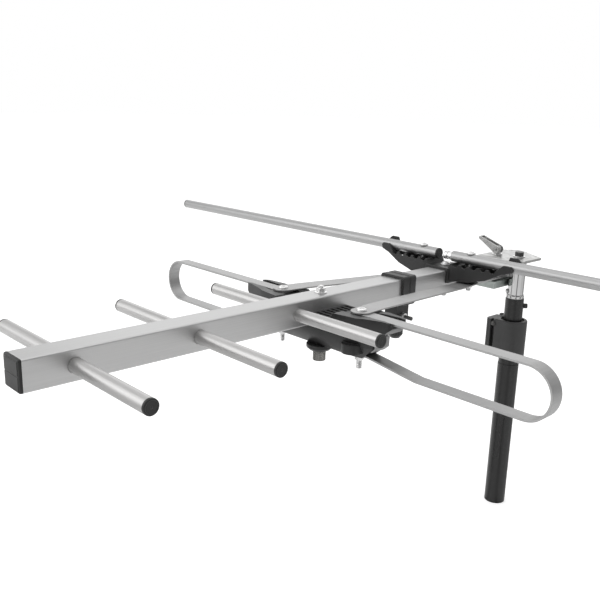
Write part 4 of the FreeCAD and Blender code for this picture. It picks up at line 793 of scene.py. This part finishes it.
def place_plugs(pattern, node_name, facing_left):
    """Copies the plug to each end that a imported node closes."""
    copies = []
    for index, (low, high) in enumerate(solids_of(node_name)):
        left = facing_left(low)
        turn = Matrix.Rotation(math.radians(-90 if left else 90), 4, "Y")
        x = low.x + CAP_FACE if left else high.x - CAP_FACE
        _, y, z = centre_of(low, high)
        copies.append(copy_to(pattern, f"{node_name}_{index}", (x, y, z), turn))
    finish_piece(join_pieces(node_name + "_made", copies), "head", "black_plastic", node_name)


plug = rod_plug("rod_plug")
boom_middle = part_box("boom_tube")[0][0] + 12.5 * MM
LEFT_END = -400 * MM
place_plugs(plug, "director_caps", lambda low: low.x < boom_middle)
place_plugs(plug, "vhf_rod_caps", lambda low: low.x < LEFT_END)
discard(plug)

# %% [markdown]
# The boom's ends are closed with square plugs. Their face has a broad bevel all round, and a groove
# across the middle that leaves two panels. A square block is bevelled, split and inset for them. The
# hollow spigot that goes into the tube is a second block, inset and pushed in.

# %% Plugs of the boom
BOOM_SIDE = 25 * MM
BOOM_BORE = 21.4 * MM
FLANGE = 2.99 * MM
PANEL = 0.45 * MM


def start_block(name, place, size):
    """A block in edit mode, with its size applied."""
    block = start_piece(name, bpy.ops.mesh.primitive_cube_add, size=1, location=place, scale=size)
    end_editing(block)
    bpy.ops.object.mode_set(mode="EDIT")
    return block


def boom_plug(name):
    """A plug with its face towards -Y, and the boom's end at the origin."""
    plug = start_block(name, (0, (PANEL - FLANGE) / 2, 0), (BOOM_SIDE, FLANGE - PANEL, BOOM_SIDE))
    pick(plug, "EDGE", lambda edge: abs(edge.verts[0].co.y - edge.verts[1].co.y) > 1 * MM)
    bevel(1.6, 5)
    pick(plug, "EDGE", lambda edge: middle(edge).y < PANEL - FLANGE + HAIR)
    bevel(1.2, 2)
    pick(plug, "FACE", lambda face: face.normal.y < -0.99)
    bpy.ops.mesh.bisect(plane_co=(0, 0, 0), plane_no=(0, 0, 1))
    pick(plug, "FACE", lambda face: face.normal.y < -0.99)
    inset(0.35, each=True)
    bpy.ops.mesh.inset(thickness=0.25 * MM, depth=PANEL, use_individual=True)
    end_editing(plug)
    spigot = start_block(name + "_spigot", (0, 5.75 * MM, 0), (BOOM_BORE, 12.5 * MM, BOOM_BORE))
    pick(spigot, "FACE", lambda face: face.normal.y > 0.99)
    inset(2)
    extrude(0, -11 * MM, 0)
    end_editing(spigot)
    plug = join_pieces(name, [plug, spigot])
    smooth(plug, 30)
    return plug


plug = boom_plug("boom_plug")
boom_low, boom_high = box_of("boom_tube")
boom_centre = (boom_low + boom_high) / 2
front_plug = copy_to(plug, "boom_front_plug", (boom_centre.x, boom_low.y, boom_centre.z))
finish_piece(front_plug, "head", "black_plastic", "boom_front_cap")
rear_plug = copy_to(plug, "boom_rear_plug", (boom_centre.x, boom_high.y, boom_centre.z),
                    Matrix.Rotation(math.pi, 4, "Z"))
finish_piece(rear_plug, "head", "black_plastic", "boom_rear_cap")
discard(plug)

# %% [markdown]
# The coaxial socket hangs under the housing: a nickel barrel with upright flutes for the fingers and a
# dark bore with the pin in the middle. The flutes are every second side face of a cylinder, inset and
# pushed in.

# %% Coaxial socket
socket_low, socket_high = solids_of("coax_socket")[0]
socket_x, socket_y, _ = centre_of(socket_low, socket_high)
BARREL_LENGTH = 10.6 * MM
barrel_radius = (socket_high.x - socket_low.x) / 2
neck_length = socket_high.z - socket_low.z - BARREL_LENGTH
barrel = start_cylinder("coax_barrel", 48, radius=barrel_radius, depth=BARREL_LENGTH,
                        z=BARREL_LENGTH / 2)
pick(barrel, "FACE", lambda face: abs(face.normal.z) > 0.9)
inset(0.7)
pick(barrel, "EDGE", lambda edge: abs(middle(edge).z) > BARREL_LENGTH / 2 - HAIR
           and middle(edge).xy.length > barrel_radius - 0.1 * MM)
bevel(0.5, 2)


def every_second_side(face):
    if abs(face.normal.z) > 0.1 or face.calc_area() < 2 * MM * MM:
        return False
    turn = math.degrees(math.atan2(face.normal.y, face.normal.x)) % 360
    return int(turn / 7.5) % 2 == 0


pick(barrel, "FACE", every_second_side)
inset(0.08, -0.35, each=True)
pick(barrel, "FACE", lambda face: face.normal.z < -0.99 and middle(face).xy.length < 1 * MM)
inset(0.9)
extrude(0, 0, 8.5 * MM)
end_editing(barrel)
smooth(barrel, 30)
neck = start_cylinder("coax_neck", 40, radius=4.5 * MM, depth=neck_length,
                      z=BARREL_LENGTH + neck_length / 2)
pick(neck, "EDGE", lambda edge: middle(edge).z > neck_length / 2 - HAIR)
bevel(0.3, 2)
end_editing(neck)
barrel = join_pieces("coax_barrel", [barrel, neck])
barrel.data.transform(Matrix.Translation((socket_x, socket_y, socket_low.z)))
finish_piece(barrel, "head", "socket_metal", "coax_socket")

# %% [markdown]
# At the foot of the chromed tube sits a bright pierced ring. It starts as an open cylinder: every third
# side face is inset and opened, the wall is given its thickness, and its rims are rounded.

# %% Pierced ring, spring button and thumb screw
ring_low, ring_high = box_of("mast_ring")
ring_height = ring_high.z - ring_low.z
ring = start_cylinder("pierced_ring", 36, radius=(ring_high.x - ring_low.x) / 2, depth=ring_height,
                      end_fill_type="NOTHING", z=(ring_low.z + ring_high.z) / 2)


def every_third_side(face):
    turn = math.degrees(math.atan2(face.normal.y, face.normal.x)) % 360
    return int(turn / 10) % 3 == 0


pick(ring, "FACE", every_third_side)
inset(0.12, each=True)
bpy.ops.transform.resize(value=(1, 1, 0.62))
bpy.ops.mesh.delete(type="FACE")
end_editing(ring)
use_modifier(ring, "SOLIDIFY", thickness=0.9 * MM, offset=-1)
use_modifier(ring, "BEVEL", width=0.18 * MM, segments=2, limit_method="ANGLE",
             angle_limit=math.radians(50))
smooth(ring, 30)
finish_piece(ring, "head", "chrome", "mast_ring")


def lay_out(piece, node_name, degrees):
    """Lays an upright piece down, turns it about the mast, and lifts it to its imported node."""
    low, high = box_of(node_name)
    piece.data.transform(Matrix.Translation((0, 0, (low.z + high.z) / 2))
                         @ Matrix.Rotation(math.radians(degrees), 4, "Z") @ TO_RIGHT)


stub_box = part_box("mast_stub")
stub_radius = (stub_box[1][0] - stub_box[0][0]) / 2
BUTTON_RADIUS = 2.95 * MM
THUMB_TURN = 46
button = start_cylinder("spring_button", 32, radius=BUTTON_RADIUS, depth=3.2 * MM, z=stub_radius - 0.8 * MM)
for share, rise in ((0.93, 0.7), (0.78, 0.55), (0.55, 0.4), (0.28, 0.2)):
    pick(button, "FACE", lambda face: face.normal.z > 0.9)
    extrude(0, 0, rise * MM)
    pick(button, "FACE", lambda face: face.normal.z > 0.99)
    across = max(middle(edge).xy.length for edge in bmesh.from_edit_mesh(button.data).edges
                 if edge.select) or 1
    factor = BUTTON_RADIUS * share / across
    bpy.ops.transform.resize(value=(factor, factor, 1), center_override=(0, 0, 0))
pick(button, "FACE", lambda face: face.normal.z < -0.99)
extrude(0, 0, -0.3 * MM)
bpy.ops.transform.resize(value=(1.25, 1.25, 1), center_override=(0, 0, 0))
extrude(0, 0, -1.5 * MM)
end_editing(button)
smooth(button, 40)
lay_out(button, "snap_button", 180 + THUMB_TURN)
finish_piece(button, "snap_button", "chrome", "snap_button")

UPPER_TUBE_RADIUS = 11 * MM
thumb = start_cylinder("ribbed_thumb_screw", 32, radius=3 * MM, depth=4.2 * MM,
                       z=UPPER_TUBE_RADIUS + 2.45 * MM)
pick(thumb, "FACE", lambda face: abs(face.normal.z) < 0.1
           and int(math.degrees(math.atan2(face.normal.y, face.normal.x)) % 360 / 11.25) % 2 == 0)
inset(0.05, -0.25, each=True)
pick(thumb, "FACE", lambda face: face.normal.z > 0.99)
inset(0.5)
inset(0.3, -0.3)
pick(thumb, "FACE", lambda face: face.normal.z < -0.99)
inset(1.05)
extrude(0, 0, -1.6 * MM)
end_editing(thumb)
smooth(thumb, 30)
lay_out(thumb, "thumb_screw", THUMB_TURN)
finish_piece(thumb, "upper_mast", "knob_black", "thumb_screw")

# %% [markdown]
# The mast's bolt has six sides and no cross, and its top is turned off. The screws of the boom's clip
# and of the mast's clamp have domed heads with a cross, in sizes of their own. All are made upright at
# the origin, turned to their direction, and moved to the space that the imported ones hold.

# %% Bolt of the mast, stud beside it, and the cross screws
TO_LEFT = Matrix.Rotation(-math.pi / 2, 4, "Y")
TO_FRONT = Matrix.Rotation(math.pi / 2, 4, "X")


def stand_in(piece, node_name, slot, seat, turn=UPRIGHT):
    """Turns and moves a finished piece to its seat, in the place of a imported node."""
    piece.data.transform(Matrix.Translation(seat) @ turn)
    finish_piece(piece, node_bodies[node_name], slot, node_name)


low, high = solids_of("mast_bolt")[0]
bolt_x, bolt_y, _ = centre_of(low, high)
BOLT_HEAD = 5 * MM
length = high.z - low.z - BOLT_HEAD
six_sided = hexagon("mast_bolt_head", 10 * MM, BOLT_HEAD, 0)
shank = threaded_shank("mast_bolt_shank", 3 * MM, -length, INTO_HEAD, 1.0 * MM, length * 0.7)
smooth(shank, 32)
stand_in(join_pieces("mast_bolt_made", [shank, six_sided]), "mast_bolt", "dark_steel",
         (bolt_x, bolt_y, high.z - BOLT_HEAD))

low, high = solids_of("head_stud")[0]
stud = threaded_shank("stud", 1.5 * MM, low.z - high.z + 1 * MM, 0, 0.5 * MM, 5 * MM)
foot = start_cylinder("stud_foot", 32, radius=2.6 * MM, depth=1 * MM, z=0.5 * MM)
pick(foot, "EDGE", lambda edge: middle(edge).z > 0.49 * MM)
bevel(0.3, 2)
end_editing(foot)
stud = join_pieces("head_stud_made", [stud, foot])
smooth(stud, 32)
stud_x, stud_y, _ = centre_of(low, high)
stand_in(stud, "head_stud", "zinc_bright", (stud_x, stud_y, low.z + 1 * MM),
         Matrix.Rotation(math.pi, 4, "X"))


def crossed_screw(name, radius, length, head_radius, head_height, threaded):
    head = crossed_head(name + "_head", head_radius, head_height)
    shank = threaded_shank(name, radius, -length, INTO_HEAD, radius * 0.35, threaded)
    screw = join_pieces(name, [shank, head])
    smooth(screw, 32)
    return screw


for node_name, slot, axis, radius, head_height, threaded, turn in (
    ("clip_screw", "dark_steel", 0, 2, 3.4, 17, TO_LEFT),
    ("clamp_screw", node_slots["clamp_screw"], 1, 1.5, 1.8, 9, TO_FRONT),
):
    low, high = solids_of(node_name)[0]
    length = high[axis] - low[axis] - head_height * MM
    screw = crossed_screw(node_name + "_made", radius * MM, length, 2 * radius * MM, head_height * MM,
                          threaded * MM)
    seat = list(centre_of(low, high))
    seat[axis] = low[axis] + head_height * MM
    stand_in(screw, node_name, slot, seat, turn)

low, high = solids_of("clip_barrel")[0]
sleeve = start_cylinder("clip_sleeve", 40, radius=4 * MM, depth=high.x - low.x,
                        rotation=(0, math.pi / 2, 0))
pick(sleeve, "FACE", lambda face: abs(face.normal.z) > 0.9)
inset(1.8)
bpy.ops.mesh.bridge_edge_loops()
pick(sleeve, "EDGE", lambda edge: abs(middle(edge).z) > (high.x - low.x) / 2 - HAIR
           and middle(edge).xy.length > 3.9 * MM)
bevel(0.5, 3)
end_editing(sleeve)
smooth(sleeve, 32)
stand_in(sleeve, "clip_barrel", "zinc_bright", (low + high) / 2)

# %% [markdown]
# The plug in the right rod's end is turned from bright bar. A groove runs round it, where an inner
# ring held the insulator. Cutting planes mark four rings on a cylinder, and the middle band between
# them is drawn in.

# %% Turned plug of the VHF rod
low, high = solids_of("vhf_spigot")[0]
spigot_length = high.x - low.x
SPIGOT_RADIUS = 4.7 * MM
spigot = start_cylinder("turned_spigot", 48, radius=SPIGOT_RADIUS, depth=spigot_length,
                        z=spigot_length / 2)
end_editing(spigot)
bpy.ops.object.mode_set(mode="EDIT")
for height in (4.6, 5.1, 6.7, 7.2):
    bpy.ops.mesh.select_all(action="SELECT")
    bpy.ops.mesh.bisect(plane_co=(0, 0, height * MM), plane_no=(0, 0, 1))
pick(spigot, "FACE", lambda face: 5.1 * MM < middle(face).z < 6.7 * MM and abs(face.normal.z) < 0.1)
bpy.ops.transform.resize(value=(0.84, 0.84, 1), center_override=(0, 0, 0))
pick(spigot, "EDGE", lambda edge: middle(edge).z < HAIR)
bevel(0.6, 3)
end_editing(spigot)
smooth(spigot, 40)
stand_in(spigot, "vhf_spigot", "bright_aluminium", (low.x, (low.y + high.y) / 2, (low.z + high.z) / 2),
         TO_RIGHT)

# %% [markdown]
# The lower moulding of the housing is a small boat: wide beside the boom, blunt at both ends, with a
# knee along its sides and a narrow keel, and its ends are raked. A block is cut at the bends and at the
# knee, and each ring of corners is drawn in to its width. The top is opened, the wall is given its
# thickness, the slot of the dipole's strip is cut, and two ears are added in front.

# %% Lower moulding of the housing
COVER_BODY = node_bodies["dipole_cover"]
SHOULDER = 43 * MM
BOW = 0.8 * MM
COVER_WALL = 1.8 * MM
EAR_X = 57 * MM
EAR_RADIUS = 10 * MM
EAR_TOP = -6 * MM
EAR_HEIGHT = 9 * MM
EAR_Y = -15 * MM
cover_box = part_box("dipole_cover")
seam = cover_box[1][2]
cover_depth = seam - cover_box[0][2]
cover_low, cover_high = box_of("dipole_cover")
cover_x = (cover_low.x + cover_high.x) / 2
cover_half = (cover_high.x - cover_low.x) / 2
COVER_WIDTH = 46 * MM
cover_y = cover_high.y - COVER_WIDTH / 2
KNEE = -8 * MM


def near(first, second):
    return abs(first - second) < HAIR


cover = start_block("cover_made", (0, 0, -cover_depth / 2), (2 * cover_half, COVER_WIDTH, cover_depth))
first_bend = (SHOULDER + cover_half) / 2
for x in (-first_bend, -SHOULDER, SHOULDER, first_bend):
    bpy.ops.mesh.select_all(action="SELECT")
    bpy.ops.mesh.bisect(plane_co=(x, 0, 0), plane_no=(1, 0, 0))
bpy.ops.mesh.select_all(action="SELECT")
bpy.ops.mesh.bisect(plane_co=(0, 0, KNEE), plane_no=(0, 0, 1))
for level, width, tip, half in ((0, 46, 24, cover_half), (KNEE, 40, 22, cover_half),
                                (-cover_depth, 20, 16, cover_half - 15 * MM)):
    bend = (SHOULDER + half) / 2
    across = (width + tip) / 4 * MM + BOW
    for station, reach, side in ((SHOULDER, SHOULDER, width / 2 * MM), (first_bend, bend, across),
                                 (cover_half, half, tip / 2 * MM)):
        pick(cover, "VERT", lambda corner: near(corner.co.z, level) and near(abs(corner.co.x), station)
                     and near(abs(corner.co.y), COVER_WIDTH / 2))
        bpy.ops.transform.resize(value=(reach / station, side / (COVER_WIDTH / 2), 1),
                                 center_override=(0, 0, 0))
pick(cover, "FACE", lambda face: face.normal.z > 0.99)
bpy.ops.mesh.delete(type="FACE")
end_editing(cover)
use_modifier(cover, "SOLIDIFY", thickness=COVER_WALL, offset=-1, use_even_offset=True)
use_modifier(cover, "BEVEL", width=0.7 * MM, segments=3, limit_method="ANGLE",
             angle_limit=math.radians(18))
strip_slot = start_piece("strip_slot", bpy.ops.mesh.primitive_cube_add, size=1,
                         location=(0, 0, -cover_depth + 2.3 * MM), scale=(0.2, 14.3 * MM, 2.2 * MM))
end_editing(strip_slot)
combine(cover, "DIFFERENCE", strip_slot)
smooth(cover, 30)
ears = [cover]
for x in (-EAR_X, EAR_X):
    ear = start_cylinder("cover_ear", 48, radius=EAR_RADIUS, depth=EAR_HEIGHT,
                         location=(x, EAR_Y, EAR_TOP - EAR_HEIGHT / 2))
    pick(ear, "FACE", lambda face: face.normal.y > 0.05 and abs(face.normal.z) < 0.5)
    bpy.ops.transform.resize(value=(1, 0.3, 1), center_override=(0, 0, 0))
    pick(ear, "EDGE", lambda edge: abs(middle(edge).z) > EAR_HEIGHT / 2 - HAIR)
    bevel(0.6, 3)
    end_editing(ear)
    smooth(ear, 30)
    ears.append(ear)
cover = join_pieces("cover_made", ears)
cover.data.transform(Matrix.Translation((cover_x, cover_y, seam)))
finish_piece(cover, COVER_BODY, "housing_plastic", "dipole_cover")

# %% [markdown]
# No mould or press leaves a knife edge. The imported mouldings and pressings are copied, their triangles
# are joined back to whole faces, and every sharp edge gets a real round, which catches a thin line of
# light. Weighted normals keep the large faces flat beside those rounds.

# %% Mouldings and pressings with real rounds
def rounded_copy(node_name, width, clamped):
    """A copy with a round of this width in millimetres, clamped where narrow faces can't hold it."""
    mesh = nodes[node_name].data.copy()
    copy = bpy.data.objects.new(node_name + "_rounded", mesh)
    bpy.context.scene.collection.objects.link(copy)
    make_active(copy)
    bpy.ops.object.mode_set(mode="EDIT")
    bpy.ops.mesh.select_all(action="SELECT")
    bpy.ops.mesh.remove_doubles(threshold=0.002 * MM)
    bpy.ops.mesh.dissolve_limited(angle_limit=math.radians(0.6))
    bpy.ops.object.mode_set(mode="OBJECT")
    use_modifier(copy, "BEVEL", width=width * MM, segments=2, limit_method="ANGLE",
                 angle_limit=math.radians(28), miter_outer="MITER_ARC", use_clamp_overlap=clamped)
    smooth(copy, 40)
    use_modifier(copy, "WEIGHTED_NORMAL", keep_sharp=True)
    finish_piece(copy, node_bodies[node_name], node_slots[node_name], node_name)


for node_name, width, clamped in (
    ("dipole_housing", 0.55, True), ("coax_collar", 0.5, True), ("cover_ends", 0.3, True),
    ("vhf_tray", 0.22, False), ("boom_clip", 0.45, False), ("clip_knob", 0.2, False),
    ("clamp_body", 0.5, False), ("clamp_lever", 0.4, False), ("head_plate", 0.35, False),
    ("head_saddle", 0.6, False), ("head_lever", 0.4, True), ("head_lever_pin", 0.15, True),
    ("folded_dipole", 0.3, False), ("phasing_strap_left", 0.25, True),
    ("phasing_strap_right", 0.25, True),
):
    rounded_copy(node_name, width, clamped)

# %% [markdown]
# The picture was taken on white with large soft lights. The world gives a little more than half of
# the light. It is white to the camera, and darker behind the camera, where a studio is dark. Three
# large lamps add the rest, from above, from the front left, and from behind on the left, where the
# boom's top face mirrors it.

# %% World
VIEWER_SIDE = (0.93, -0.30, -0.20)
world = bpy.data.worlds.new("studio")
bpy.context.scene.world = world
sky = Tree(world)
direction = sky.add("ShaderNodeTexCoord").outputs["Generated"]
towards_side = sky.work("DOT_PRODUCT", direction, VIEWER_SIDE, kind="ShaderNodeVectorMath")
room = sky.shades(towards_side, (0.0, grey(0.78)), (0.8, grey(0.20)))
seen = sky.add("ShaderNodeLightPath").outputs["Is Camera Ray"]
sky.join(sky.mix(seen, room, (1, 1, 1)), sky.tree.nodes["Background"].inputs["Color"])
print("world is ready")


# %% Lamps
def soft_lamp(name, place, aim, width, height, power):
    data = bpy.data.lights.new(name, "AREA")
    data.shape = "RECTANGLE"
    data.size = width
    data.size_y = height
    data.energy = power
    lamp = bpy.data.objects.new(name, data)
    bpy.context.scene.collection.objects.link(lamp)
    lamp.location = place
    lamp.rotation_euler = (Vector(aim) - Vector(place)).to_track_quat("-Z", "Y").to_euler()
    lamp.visible_camera = False
    return lamp


AIM = (0.0, -0.3, 0.3)
soft_lamp("lamp_above", (0.1, -0.2, 2.2), AIM, 2.6, 2.6, 15)
soft_lamp("lamp_front_left", (-1.3, -1.9, 1.3), AIM, 1.8, 1.8, 14)
soft_lamp("lamp_back_left", (-1.7, 1.5, 1.1), AIM, 2.6, 1.4, 7)
print("lamps are ready")

# %% [markdown]
# The floor is a plain pale sheet under the mast's foot. It takes the object's shadow. The little that
# it lacks to be as white as the picture's ground is added only for the camera and for reflections.
# Chrome seen from above mirrors the floor, and in a studio dark flags and white screens lie round it:
# a radial pattern about the mast gives mirrors such dark and bright rays, which draw the upright
# streaks on the chromed tube.

# %% Floor
bpy.ops.object.select_all(action="DESELECT")
bpy.ops.mesh.primitive_plane_add(size=40, location=(0, 0, 0))
floor = bpy.context.active_object
floor.name = "floor"
paper = Look("white_paper", 0.0, 0.9)
fibres = paper.noise(60.0, detail=4.0)
paths = paper.add("ShaderNodeLightPath").outputs
rays = paper.add("ShaderNodeTexGradient", Vector=paper.place)
rays.gradient_type = "RADIAL"
RAYS = ((0.00, 0.9), (0.135, 0.9), (0.145, 0.2), (0.175, 0.2), (0.19, 0.85), (0.27, 0.9), (0.335, 0.95),
        (0.355, 0.95), (0.365, 0.1), (0.39, 0.1), (0.40, 1.0), (0.51, 1.0), (0.54, 0.8), (0.64, 0.8),
        (0.66, 0.2), (0.72, 0.2), (0.75, 0.9))
mirrored = paper.shades(rays.outputs["Fac"], *((place, grey(level)) for place, level in RAYS))
plain = paper.shades(fibres, (0.0, grey(0.68)), (1.0, grey(0.70)))
paper.done(paper.mix(paths["Is Glossy Ray"], plain, mirrored))
gloss_glow = paper.work("MULTIPLY", paths["Is Glossy Ray"], 0.20)
glow = paper.work("MULTIPLY_ADD", paths["Is Camera Ray"], 0.55, gloss_glow)
paper.join((1, 1, 1), paper.shader.inputs["Emission Color"])
paper.join(glow, paper.shader.inputs["Emission Strength"])
floor.data.materials.append(paper.material)
bpy.context.scene.view_settings.view_transform = "Standard"
print("floor is ready")
